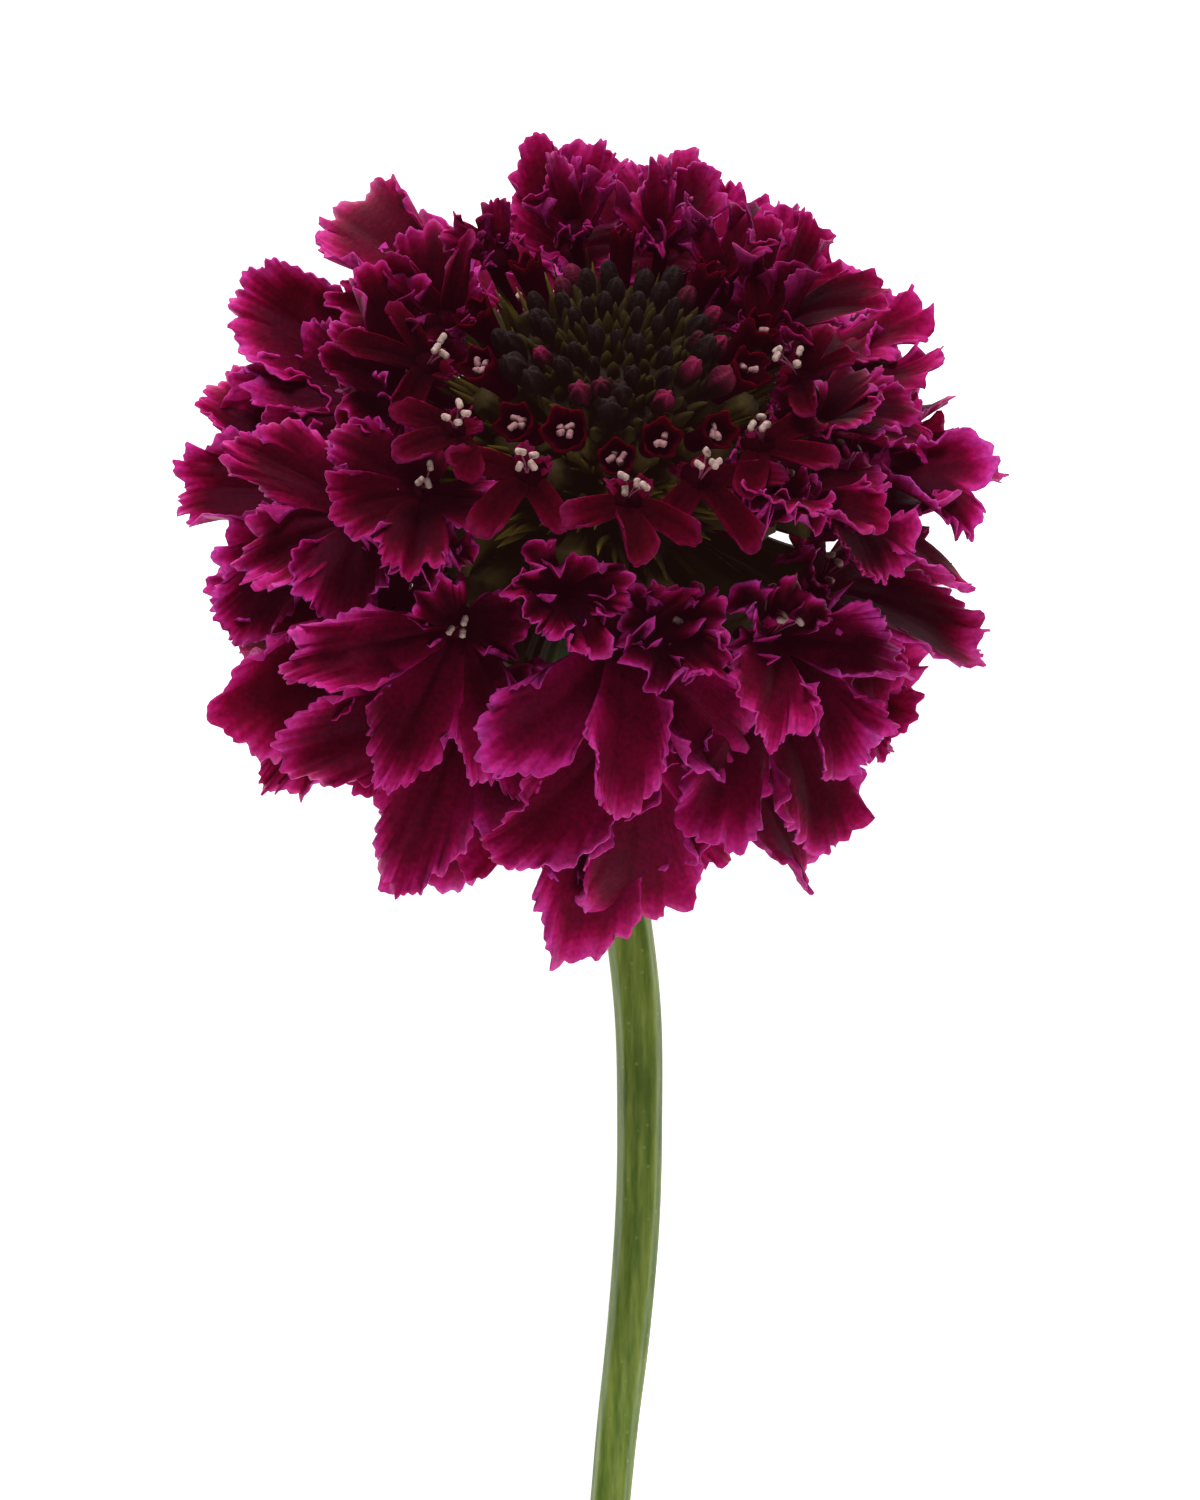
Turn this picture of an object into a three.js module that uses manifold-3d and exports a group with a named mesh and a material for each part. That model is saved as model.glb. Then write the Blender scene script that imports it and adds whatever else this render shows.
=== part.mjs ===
// Scabiosa, one cut flower of a double dark magenta kind, lying on its side.
// Millimetres, +Z up. The surface it lies on is z = 0, the stem runs towards -Y.
import * as THREE from "three";
import Module from "manifold-3d";

// Head: where its centre is, how far its axis rises from the surface and leans to +X.
const HEAD_CENTRE = new THREE.Vector3(2.2, 46.6, 20.2);
const HEAD_RISE = 50;
const HEAD_LEAN = 2;

// Receptacle inside the head, with the gap kept between separate pieces.
const CORE_RADIUS = 8;
const PIECE_GAP = 0.5;

// Petal lobes: thickness, and how softly they settle on the surface.
const BLADE = 0.7;
const SETTLE_SOFTNESS = 1.6;

// Floret tubes, and how deep they enter the receptacle.
const TUBE_ROOT_DEPTH = 1.5;
const TUBE_ROOT_RADIUS = 0.6;
const TUBE_THROAT_RADIUS = 1.1;
const TUBE_BEND = 3;

// Where along a lobe the sheet of the corolla splits into lobes, and where it is
// bent next. The throat lies a little deeper than the lobes.
const SPLIT_AT = 0.27;
const MIDDLE_AT = 0.64;
const THROAT_DEPTH = 0.4;

// Kinds of lobe: middle and rim are the numbers of points half way out and on the
// rim, scallops the big rounded cuts of the rim, fan its half angle, bow how far it
// reaches back, and lift how much steeper than its neighbours the lobe rises.
const LOBES = {
  ray: {
    middle: 2, rim: 7, scallops: 3, cut: 0.2, fan: 100, bow: 0.42, root: 1.1, lift: 0,
  },
  raySide: {
    middle: 2, rim: 5, scallops: 2, cut: 0.2, fan: 100, bow: 0.42, root: 1.1, lift: 0,
  },
  crisp: {
    middle: 0, rim: 2, scallops: 1, cut: 0, fan: 60, bow: 0.3, root: 0.9, lift: 25,
  },
  mid: {
    middle: 0, rim: 3, scallops: 1, cut: 0.1, fan: 84, bow: 0.38, root: 0.9, lift: 0,
  },
  disc: {
    middle: 0, rim: 2, scallops: 1, cut: 0, fan: 50, bow: 0.3, root: 0.75, lift: 0,
  },
};

// How the lobes of a floret stand: angle from the lobe that points outwards,
// kind, and length and width against those of the floret.
const RAY_SET = [
  { angle: -120, lobe: "crisp", length: 0.44, width: 0.5 },
  { angle: -50, lobe: "raySide", length: 0.95, width: 0.74 },
  { angle: 0, lobe: "ray", length: 1, width: 0.78 },
  { angle: 50, lobe: "raySide", length: 0.95, width: 0.74 },
  { angle: 120, lobe: "crisp", length: 0.44, width: 0.5 },
];
const MID_SET = [
  { angle: -122, lobe: "mid", length: 0.6, width: 0.65 },
  { angle: -50, lobe: "mid", length: 1, width: 0.9 },
  { angle: 0, lobe: "mid", length: 1.05, width: 0.9 },
  { angle: 50, lobe: "mid", length: 1, width: 0.9 },
  { angle: 122, lobe: "mid", length: 0.6, width: 0.65 },
];
const FRILL_SET = [
  { angle: -95, lobe: "crisp", length: 0.8, width: 0.8 },
  { angle: 0, lobe: "crisp", length: 1, width: 0.9 },
  { angle: 95, lobe: "crisp", length: 0.8, width: 0.8 },
];
const STAR_SET = [
  { angle: -144, lobe: "disc", length: 0.6, width: 0.8 },
  { angle: -70, lobe: "disc", length: 0.9, width: 1 },
  { angle: 0, lobe: "disc", length: 1, width: 1 },
  { angle: 70, lobe: "disc", length: 0.9, width: 1 },
  { angle: 144, lobe: "disc", length: 0.6, width: 0.8 },
];

// Whorls of florets from the stem side to the buds, and last the small crisped ones
// that fill the side that looks up. polar is the angle from the head axis, zigzag what
// it gains and loses by turns, drop what is added to it on the side that looks up,
// azimuth 0, facing where the outer lobe points, roll the turn that lets the florets
// of a whorl overlap like shingles.
const WHORLS = [
  { count: 5, start: -70, step: 35, jitter: 3, polar: 114, scatter: 2, zigzag: 0,
    radius: 17.5, length: 15.5, width: 9.5, facing: 110, droop: 40, drop: 9, roll: -17,
    set: RAY_SET, rise: 24, curl: 50 },
  { count: 11, start: 5, step: 360 / 11, jitter: 4, polar: 100, scatter: 2, zigzag: 3,
    radius: 18, length: 15.5, width: 9.8, facing: 97, droop: 44, drop: 7, roll: -17,
    set: RAY_SET, rise: 28, curl: 55 },
  { count: 10, start: -34, step: 36, jitter: 4, polar: 84, scatter: 2, zigzag: 4,
    radius: 17.5, length: 12.6, width: 8.8, facing: 84, droop: 44, drop: 3, roll: -17,
    set: RAY_SET, rise: 28, curl: 55 },
  { count: 8, start: 50, step: 37, jitter: 4, polar: 62, scatter: 2, zigzag: 0,
    radius: 17.6, length: 9.5, width: 5.2, facing: 68, droop: 30, drop: 0, roll: -15,
    set: MID_SET, rise: 40, curl: 46 },
  { count: 13, start: 2, step: 360 / 13, jitter: 4, polar: 46, scatter: 1.5, zigzag: 0,
    radius: 18, length: 5.8, width: 2.8, facing: 58, droop: 48, drop: 0, roll: -8,
    set: STAR_SET, rise: 24, curl: 38 },
  { count: 6, start: -76, step: 30, jitter: 4, polar: 71, scatter: 4, zigzag: 0,
    radius: 16.4, length: 6.6, width: 6, facing: 84, droop: 30, drop: 0, roll: -6,
    set: FRILL_SET, rise: 30, curl: 60 },
];

// Youngest florets round the buds: small funnels, by turns nearer to them and
// farther, with their radius at distances from the centre.
const CUP_COUNT = 12;
const CUP_POLAR = 35.5;
const CUP_ZIGZAG = 1.5;
const CUP_SIDES = 5;
const CUP_PROFILE = [
  [CORE_RADIUS - TUBE_ROOT_DEPTH, 0.5],
  [14.6, 0.6],
  [17.2, 1.4],
];

// Unopened buds on a cap over the middle of the head.
const BUD_COUNT = 36;
const BUD_SPREAD = 27;
const BUD_HEIGHT = 15.6;
const BUD_SIDES = 5;
const CAP_RADIUS = 13.5;
const CAP_EDGE = 29;

// Involucre: a green dish under the head with narrow bracts.
const DISH_WALL = 1.4;
const DISH_EDGE = 130;
const BRACT_COUNT = 11;
const BRACT_LENGTH = 10;
const BRACT_WIDTH = 2.6;
const BRACT_FRONT_POLAR = 143;
const BRACT_BACK_POLAR = 144;

// Stem: points of its centre line and its radius there, seen from the head centre
// for x and y, and up from the surface for z. The first one is under the dish.
const STEM_SIDES = 12;
const STEM_STEPS = 3;
const STEM_TOP_RADIUS = 2.3;
const STEM_POINTS = [
  { x: -1.5, y: -12.7, z: 6.7, r: 2 },
  { x: -0.6, y: -20, z: 3.2, r: 1.9 },
  { x: 0.9, y: -28.6, z: 1.86, r: 1.82 },
  { x: 2.1, y: -38, z: 1.78, r: 1.78 },
  { x: 2.29, y: -47, z: 1.7, r: 1.7 },
  { x: 2.1, y: -54.5, z: 1.67, r: 1.67 },
  { x: 1.45, y: -62.5, z: 1.62, r: 1.62 },
  { x: 0.65, y: -69.5, z: 1.55, r: 1.55 },
  { x: -0.15, y: -78, z: 1.5, r: 1.5 },
  { x: -1.9, y: -96, z: 1.48, r: 1.48 },
  { x: -4, y: -118, z: 1.45, r: 1.45 },
];

const wasm = await Module();
wasm.setup();

// Seeded draws, so that every floret differs and stays as it is.
function draw(item, slot) {
  const wave = Math.sin(item * 12.9898 + slot * 78.233 + 4.137) * 43758.5453;
  return wave - Math.floor(wave);
}

function spread(item, slot) {
  return 2 * draw(item, slot) - 1;
}

// Axes of the head: along it, to the side that looks up, and to +X.
const radians = THREE.MathUtils.degToRad;
const rise = radians(HEAD_RISE);
const lean = radians(HEAD_LEAN);
const AXIS = new THREE.Vector3(
  Math.sin(lean),
  Math.cos(rise) * Math.cos(lean),
  Math.sin(rise) * Math.cos(lean),
);
const FRONT = new THREE.Vector3(0, -Math.sin(rise), Math.cos(rise));
FRONT.addScaledVector(AXIS, -FRONT.dot(AXIS)).normalize();
const RIGHT = new THREE.Vector3().crossVectors(AXIS, FRONT);

// Direction at an angle from the head axis and an azimuth round it.
function way(polar, azimuth) {
  const p = radians(polar);
  const a = radians(azimuth);
  return new THREE.Vector3()
    .addScaledVector(AXIS, Math.cos(p))
    .addScaledVector(FRONT, Math.sin(p) * Math.cos(a))
    .addScaledVector(RIGHT, Math.sin(p) * Math.sin(a));
}

function fromCentre(direction, distance) {
  return HEAD_CENTRE.clone().addScaledVector(direction, distance);
}

// Keeps a blade on or above the surface, with a soft bend where it lands.
function settle(point, half) {
  const z = point.z - half;
  if (z <= -SETTLE_SOFTNESS) {
    point.z = half;
  } else if (z < SETTLE_SOFTNESS) {
    point.z = half + (z + SETTLE_SOFTNESS) ** 2 / (4 * SETTLE_SOFTNESS);
  }
  return point;
}

// Closed body from points and triangles.
function solid(points, triangles) {
  const mesh = new wasm.Mesh({
    numProp: 3,
    vertProperties: new Float32Array(points.flatMap((p) => [p.x, p.y, p.z])),
    triVerts: new Uint32Array(triangles.flat()),
  });
  mesh.merge();
  const body = new wasm.Manifold(mesh);
  return body.volume() < 0 ? solid(points, triangles.map(([a, b, c]) => [a, c, b])) : body;
}

// Triangles between two rows of points that run side by side.
function stitch(rowA, rowB) {
  const triangles = [];
  let a = 0;
  let b = 0;
  while (a < rowA.length - 1 || b < rowB.length - 1) {
    const nextA = (a + 1) / (rowA.length - 1 || 1);
    const nextB = (b + 1) / (rowB.length - 1 || 1);
    const stepA = b === rowB.length - 1 || (a < rowA.length - 1 && nextA < nextB);
    if (stepA) {
      triangles.push([rowA[a], rowA[a + 1], rowB[b]]);
      a += 1;
    } else {
      triangles.push([rowA[a], rowB[b + 1], rowB[b]]);
      b += 1;
    }
  }
  return triangles;
}

// Direction square to a surface given by a function of u and v.
function normalAt(surface, u, v) {
  const nudge = 0.01;
  const across = surface(u + nudge, v).sub(surface(u - nudge, v));
  const along = surface(u, v + nudge).sub(surface(u, v - nudge));
  return across.cross(along).normalize();
}

// Blade of even thickness on such a surface, with as many points across each row
// as asked.
function blade(surface, rows, thickness) {
  const upper = [];
  const lower = [];
  const grid = [];
  rows.forEach((count, row) => {
    const v = row / (rows.length - 1);
    const line = [];
    for (let k = 0; k < count; k += 1) {
      const u = -1 + (2 * k) / (count - 1);
      const normal = normalAt(surface, u, v);
      const point = surface(u, v);
      line.push(upper.length);
      upper.push(point.clone().addScaledVector(normal, thickness / 2));
      lower.push(point.clone().addScaledVector(normal, -thickness / 2));
    }
    grid.push(line);
  });
  const shift = upper.length;
  const triangles = [];
  for (let row = 0; row < grid.length - 1; row += 1) {
    for (const [a, b, c] of stitch(grid[row], grid[row + 1])) {
      triangles.push([a, b, c], [c + shift, b + shift, a + shift]);
    }
  }
  const left = grid.slice(1).map((line) => line[0]);
  const right = grid.slice(1, -1).map((line) => line[line.length - 1]).reverse();
  const border = [
    ...grid[0].slice().reverse(), ...left, ...grid[grid.length - 1].slice(1), ...right,
  ];
  border.forEach((from, k) => {
    const to = border[(k + 1) % border.length];
    triangles.push([from, to, to + shift], [from, to + shift, from + shift]);
  });
  return solid([...upper, ...lower], triangles);
}

// Body of rings swept along a line; each ring has its centre, two axes and a radius.
function sweep(rings, sides) {
  const points = [];
  const triangles = [];
  rings.forEach((ring) => {
    for (let k = 0; k < sides; k += 1) {
      const turn = (2 * Math.PI * k) / sides;
      points.push(ring.centre.clone()
        .addScaledVector(ring.x, ring.radius * Math.cos(turn))
        .addScaledVector(ring.y, ring.radius * Math.sin(turn)));
    }
  });
  for (let r = 0; r < rings.length - 1; r += 1) {
    for (let k = 0; k < sides; k += 1) {
      const next = (k + 1) % sides;
      const a = r * sides + k;
      const b = r * sides + next;
      triangles.push([a, b, b + sides], [a, b + sides, a + sides]);
    }
  }
  const last = (rings.length - 1) * sides;
  for (let k = 1; k < sides - 1; k += 1) {
    triangles.push([0, k + 1, k], [last, last + k, last + k + 1]);
  }
  return solid(points, triangles);
}

// Two axes across a direction.
function crossAxes(direction) {
  const helper = Math.abs(direction.z) > 0.9
    ? new THREE.Vector3(1, 0, 0)
    : new THREE.Vector3(0, 0, 1);
  const x = new THREE.Vector3().crossVectors(direction, helper).normalize();
  return { x, y: new THREE.Vector3().crossVectors(direction, x) };
}

// Body of revolution round the head axis from radius and height pairs.
function turned(profile, sides) {
  const axes = { x: FRONT, y: RIGHT.clone().negate() };
  return sweep(profile.map(([radius, height]) => ({
    centre: fromCentre(AXIS, height), radius, ...axes,
  })), sides);
}

// Bowl round the head centre between two radii, from a pole to a polar angle.
function shellPart(inner, outer, from, to, steps, sides) {
  const arc = (radius, a, b) => Array.from({ length: steps + 1 }, (_, k) => {
    const polar = radians(a + ((b - a) * k) / steps);
    return [Math.max(0.02, radius * Math.sin(polar)), radius * Math.cos(polar)];
  });
  return turned([...arc(outer, from, to), ...arc(inner, to, from)], sides);
}

// Surface of one petal lobe: a fan with a scalloped rim, folded and bent outwards.
function lobeSurface(spec) {
  const bend = radians(spec.curl) / spec.length;
  const start = radians(spec.rise);
  const side = new THREE.Vector3().crossVectors(spec.along, spec.face);
  const bow = spec.kind.bow * spec.length;
  return (u, v) => {
    const turn = radians(spec.kind.fan) * (u + 0.09 * Math.sin(Math.PI * u + spec.phase));
    const wave = Math.abs(Math.sin((Math.PI * spec.kind.scallops * (u + 1)) / 2));
    const rim = 1 - spec.kind.cut * (1 - wave ** 0.7) * (1 - 0.4 * Math.abs(u));
    const rimX = (spec.width / 2) * Math.sin(turn) * rim;
    const rimY = spec.length - bow + bow * Math.cos(turn) * rim;
    const x = spec.kind.root * u * (1 - v) + rimX * Math.max(0, v) ** 1.35;
    const y = rimY * v;
    const angle = bend * y - start;
    const fold = Math.sin(Math.PI * spec.folds * u + spec.phase * 6);
    const height = spec.cup * ((2 * x) / spec.width) ** 2 * v + spec.pleat * Math.max(0, v) ** 1.6 * fold;
    const twist = radians(spec.twist) * v;
    const x2 = x * Math.cos(twist) - height * Math.sin(twist);
    const h2 = x * Math.sin(twist) + height * Math.cos(twist);
    const forward = (Math.sin(angle) + Math.sin(start)) / bend + Math.sin(angle) * h2;
    const up = (Math.cos(angle) - Math.cos(start)) / bend + Math.cos(angle) * h2;
    const point = spec.origin.clone()
      .addScaledVector(spec.along, forward)
      .addScaledVector(spec.face, up)
      .addScaledVector(side, x2);
    return settle(point, BLADE / 2);
  };
}

// Row of points across a lobe at one distance from its root.
function lobeRow(surface, count, v) {
  return Array.from({ length: count }, (_, k) => {
    const u = count > 1 ? -1 + (2 * k) / (count - 1) : 0;
    return { place: surface(u, v), normal: normalAt(surface, u, v) };
  });
}

// Point halfway between two, where the sheet splits between two lobes.
function between(a, b) {
  return {
    place: a.place.clone().lerp(b.place, 0.5),
    normal: a.normal.clone().add(b.normal).normalize(),
  };
}

// Closed body of a floret: a sheet of lobes round the throat with a tube below it.
function floretBody(lobes, throat, face, tubeRings) {
  const spots = [];
  const put = (spot) => spots.push(spot) - 1;
  const triangles = [];
  const border = [];
  const count = lobes.length;
  const splits = lobes.map((lobe, k) => {
    const before = lobes[(k + count - 1) % count];
    const a = lobeRow(before.surface, 3, SPLIT_AT)[2];
    const b = lobeRow(lobe.surface, 3, SPLIT_AT)[0];
    return put(between(a, b));
  });
  const ribs = lobes.map((lobe) => put(lobeRow(lobe.surface, 3, SPLIT_AT)[1]));
  lobes.forEach((lobe, k) => {
    const next = splits[(k + 1) % count];
    const base = [splits[k], ribs[k], next];
    const middle = lobeRow(lobe.surface, lobe.kind.middle, MIDDLE_AT).map(put);
    const rim = lobeRow(lobe.surface, lobe.kind.rim, 1).map(put);
    if (middle.length > 0) {
      triangles.push(...stitch(base, middle), ...stitch(middle, rim));
    } else {
      triangles.push(...stitch(base, rim));
    }
    border.push(splits[k], ...middle.slice(0, 1), ...rim, ...middle.slice(1));
  });

  const low = spots.length;
  const points = [
    ...spots.map((s) => s.place.clone().addScaledVector(s.normal, BLADE / 2)),
    ...spots.map((s) => s.place.clone().addScaledVector(s.normal, -BLADE / 2)),
  ];
  const faces = triangles.flatMap(([a, b, c]) => [[a, b, c], [c + low, b + low, a + low]]);
  border.forEach((from, k) => {
    const to = border[(k + 1) % border.length];
    faces.push([from, to, to + low], [from, to + low, from + low]);
  });

  const centre = points.push(throat.clone().addScaledVector(face, BLADE / 2)) - 1;
  const rings = tubeRings.map((ring) => ring.map((p) => points.push(p) - 1));
  for (let k = 0; k < count; k += 1) {
    const next = (k + 1) % count;
    faces.push([centre, ribs[k], splits[k]], [centre, splits[next], ribs[k]]);
    const [top, topNext] = [rings[0][k], rings[0][next]];
    const split = splits[next] + low;
    faces.push(
      [ribs[k] + low, split, top],
      [split, topNext, top],
      [split, ribs[next] + low, topNext],
    );
    for (let r = 0; r < rings.length - 1; r += 1) {
      const [a, b] = [rings[r][k], rings[r][next]];
      const [c, d] = [rings[r + 1][k], rings[r + 1][next]];
      faces.push([a, b, d], [a, d, c]);
    }
  }
  const end = rings[rings.length - 1];
  for (let k = 1; k < count - 1; k += 1) {
    faces.push([end[0], end[k], end[k + 1]]);
  }
  return solid(points, faces);
}

// The head isn't round: fullest on the side that looks up, fuller to -X than to +X.
function headShape(azimuth) {
  const a = radians(azimuth);
  const front = Math.max(0, Math.cos(a));
  const back = Math.max(0, -Math.cos(a));
  return {
    girth: 0.96 - 0.035 * Math.sin(a) + 0.05 * front - 0.02 * back,
    reach: 0.83 - 0.06 * Math.sin(a) + 0.15 * front - 0.02 * back,
  };
}

// One floret: its place on the head, its lobes, and a tube from the receptacle.
function floret(whorl, index, item) {
  const azimuth = whorl.start + whorl.step * index + whorl.jitter * spread(item, 1);
  const front = Math.max(0, Math.cos(radians(azimuth)));
  const polar = whorl.polar + whorl.scatter * spread(item, 2) + whorl.drop * front
    + whorl.zigzag * (-1) ** index;
  const { girth, reach } = headShape(azimuth);
  const throat = fromCentre(way(polar, azimuth), whorl.radius * girth + spread(item, 3));
  const facing = whorl.facing + whorl.droop * front ** 0.8 + 6 * spread(item, 4);
  const outward = way(facing, azimuth + 6 * spread(item, 5));
  const face = way(facing - 90, azimuth);
  face.addScaledVector(outward, -face.dot(outward)).normalize();
  face.applyAxisAngle(outward, radians(whorl.roll));
  const across = new THREE.Vector3().crossVectors(outward, face);
  const lobes = whorl.set.map((place, k) => {
    const seed = 10 * item + k;
    const angle = radians(place.angle + 4 * spread(seed, 6));
    const along = outward.clone().multiplyScalar(Math.cos(angle))
      .addScaledVector(across, Math.sin(angle));
    const length = whorl.length * place.length * reach * (1 + 0.14 * spread(seed, 7));
    const big = length > 7;
    const surface = lobeSurface({
      kind: LOBES[place.lobe],
      length,
      width: whorl.width * place.width * (1 + 0.1 * spread(seed, 8)),
      origin: throat.clone().addScaledVector(along, 0.5),
      along,
      face,
      rise: whorl.rise + 8 * spread(seed, 9) + LOBES[place.lobe].lift,
      curl: whorl.curl + 16 * spread(seed, 10),
      cup: (0.8 + 1.2 * spread(seed, 11)) * (big ? 1 : 0.3),
      twist: 6 * spread(seed, 12),
      folds: 1.6 + 0.8 * draw(seed, 13),
      pleat: (0.9 + 0.5 * spread(seed, 14)) * (big ? 1 : 0.3),
      phase: 2 * Math.PI * draw(seed, 15),
    });
    return { kind: LOBES[place.lobe], along, surface };
  });

  const root = fromCentre(way(Math.min(polar, 104), azimuth), CORE_RADIUS - TUBE_ROOT_DEPTH);
  const sunk = throat.clone().addScaledVector(face, -THROAT_DEPTH);
  const knee = sunk.clone().addScaledVector(face, -TUBE_BEND);
  const collar = sunk.clone().addScaledVector(face, -BLADE);
  const ring = (centre, direction, radius) => {
    const turn = new THREE.Quaternion().setFromUnitVectors(face, direction);
    return lobes.map((lobe) => centre.clone()
      .addScaledVector(lobe.along.clone().applyQuaternion(turn), radius));
  };
  const heading = knee.clone().sub(root).normalize();
  const tube = [
    ring(collar, face, TUBE_THROAT_RADIUS),
    ring(root, heading, TUBE_ROOT_RADIUS),
  ];
  return floretBody(lobes, sunk, face, tube);
}

// Bodies joined into one, without loose scraps.
function joined(bodies) {
  const whole = wasm.Manifold.union(bodies);
  const parts = whole.decompose();
  parts.sort((a, b) => b.volume() - a.volume());
  return parts[0];
}

function florets() {
  const core = turned([0, 30, 60, 90, 120, 150, 180].map((polar) => [
    Math.max(0.3, CORE_RADIUS * Math.sin(radians(polar))),
    CORE_RADIUS * Math.cos(radians(polar)),
  ]), 12);
  const bodies = [core];
  WHORLS.forEach((whorl, w) => {
    for (let k = 0; k < whorl.count; k += 1) {
      bodies.push(floret(whorl, k, 100 * w + k));
    }
  });
  for (let k = 0; k < CUP_COUNT; k += 1) {
    const azimuth = (360 * k) / CUP_COUNT + 4 * spread(k, 51);
    const zigzag = CUP_ZIGZAG * (k % 2 ? -1 : 1);
    const heading = way(CUP_POLAR + zigzag + spread(k, 52), azimuth);
    const axes = crossAxes(heading);
    bodies.push(sweep(CUP_PROFILE.map(([distance, radius]) => ({
      centre: fromCentre(heading, distance), radius, ...axes,
    })), CUP_SIDES));
  }
  return joined(bodies);
}

// Buds stand in a spiral on the cap, small in the middle and longer at its edge.
function buds() {
  const bodies = [shellPart(CORE_RADIUS + PIECE_GAP, CAP_RADIUS, 0, CAP_EDGE, 3, 14)];
  for (let k = 0; k < BUD_COUNT; k += 1) {
    const out = Math.sqrt((k + 0.5) / BUD_COUNT);
    const heading = way(BUD_SPREAD * out + spread(k, 33), 137.508 * k);
    const radius = 0.8 + 0.35 * out * out + 0.1 * spread(k, 32);
    const tip = BUD_HEIGHT + 0.5 - 0.3 * out * out + 0.3 * spread(k, 31);
    const axes = crossAxes(heading);
    bodies.push(sweep([
      { centre: fromCentre(heading, CAP_RADIUS - 0.8), radius: 0.7 * radius, ...axes },
      { centre: fromCentre(heading, tip - 1.2), radius, ...axes },
      { centre: fromCentre(heading, tip), radius: 0.3 * radius, ...axes },
    ], BUD_SIDES));
  }
  return joined(bodies);
}

function involucre() {
  const inner = CORE_RADIUS + PIECE_GAP;
  const bodies = [shellPart(inner, inner + DISH_WALL, 180, DISH_EDGE, 4, 16)];
  for (let k = 0; k < BRACT_COUNT; k += 1) {
    const azimuth = (360 * k) / BRACT_COUNT + 8 * spread(k, 41);
    const back = (1 - Math.cos(radians(azimuth))) / 2;
    const polar = BRACT_FRONT_POLAR + (BRACT_BACK_POLAR - BRACT_FRONT_POLAR) * back;
    const along = way(polar, azimuth);
    const face = way(polar - 90, azimuth);
    const side = new THREE.Vector3().crossVectors(along, face);
    const length = BRACT_LENGTH * (1 + 0.15 * spread(k, 42));
    const surface = (u, v) => {
      const width = (BRACT_WIDTH / 2) * Math.sin(Math.PI * (0.12 + 0.8 * v)) ** 0.8;
      return fromCentre(along, inner + 0.8 + length * v)
        .addScaledVector(side, u * width)
        .addScaledVector(face, 0.5 * Math.abs(u) - 1.5 * v * v);
    };
    bodies.push(blade(surface, [3, 3, 3, 2], BLADE));
  }
  return joined(bodies);
}

function stem() {
  const top = fromCentre(AXIS, -(CORE_RADIUS + DISH_WALL + 2 * PIECE_GAP));
  const points = [
    top,
    ...STEM_POINTS.map((p) => new THREE.Vector3(HEAD_CENTRE.x + p.x, HEAD_CENTRE.y + p.y, p.z)),
  ];
  const radii = [STEM_TOP_RADIUS, ...STEM_POINTS.map((p) => p.r)];
  const line = new THREE.CatmullRomCurve3(points, false, "catmullrom", 0.5);
  const count = (points.length - 1) * STEM_STEPS;
  const rings = [];
  for (let k = 0; k <= count; k += 1) {
    const t = k / count;
    const at = t * (points.length - 1);
    const low = Math.min(Math.floor(at), radii.length - 2);
    const radius = radii[low] + (radii[low + 1] - radii[low]) * (at - low);
    const direction = line.getTangent(t);
    const x = new THREE.Vector3().crossVectors(direction, new THREE.Vector3(0, 0, 1));
    x.normalize();
    const y = new THREE.Vector3().crossVectors(direction, x);
    const centre = line.getPoint(t);
    centre.z = Math.max(centre.z, radius);
    rings.push({ centre, x, y, radius });
  }
  return sweep(rings, STEM_SIDES);
}

// Mesh of a body for the group.
function part(name, body, colour, roughness) {
  const mesh = body.getMesh();
  const geometry = new THREE.BufferGeometry();
  const places = new THREE.BufferAttribute(new Float32Array(mesh.vertProperties), 3);
  geometry.setAttribute("position", places);
  geometry.setIndex(new THREE.BufferAttribute(new Uint32Array(mesh.triVerts), 1));
  geometry.computeVertexNormals();
  const material = new THREE.MeshStandardMaterial({ color: colour, roughness });
  material.name = name;
  const result = new THREE.Mesh(geometry, material);
  result.name = name;
  return result;
}

const group = new THREE.Group();
group.name = "scabiosa";
group.add(part("stem", stem(), 0x5b7d33, 0.6));
group.add(part("involucre", involucre(), 0x3f5a2a, 0.7));
group.add(part("florets", florets(), 0x7d1052, 0.6));
group.add(part("buds", buds(), 0x26222c, 0.5));

export default group;
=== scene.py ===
import bpy
import math
import numpy as np
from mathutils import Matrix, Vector


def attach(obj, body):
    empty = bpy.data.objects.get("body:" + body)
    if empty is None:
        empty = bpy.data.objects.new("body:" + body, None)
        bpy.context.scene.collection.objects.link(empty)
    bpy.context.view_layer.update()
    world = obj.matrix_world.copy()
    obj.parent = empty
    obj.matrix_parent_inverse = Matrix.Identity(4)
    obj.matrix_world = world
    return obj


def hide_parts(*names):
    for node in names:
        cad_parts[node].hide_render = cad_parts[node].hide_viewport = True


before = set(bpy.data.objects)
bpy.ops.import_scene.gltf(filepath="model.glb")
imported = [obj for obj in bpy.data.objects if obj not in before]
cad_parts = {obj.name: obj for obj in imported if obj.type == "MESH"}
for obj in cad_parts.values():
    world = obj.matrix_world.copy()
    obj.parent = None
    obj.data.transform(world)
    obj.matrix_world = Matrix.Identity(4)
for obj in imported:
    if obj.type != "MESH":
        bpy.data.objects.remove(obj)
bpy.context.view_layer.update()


# Camera: it looks straight down on the flower, which lies on its side, from a little
# under half a metre, with the stem pointing at the bottom edge of the frame.
camera_data = bpy.data.cameras.new("camera")
camera = bpy.data.objects.new("camera", camera_data)
camera.location = (0.00157, 0.0273, 0.470)
camera_data.sensor_width = 36
camera_data.lens = 152.1
camera_data.clip_start = 0.01
bpy.context.scene.collection.objects.link(camera)
bpy.context.scene.camera = camera


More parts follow.
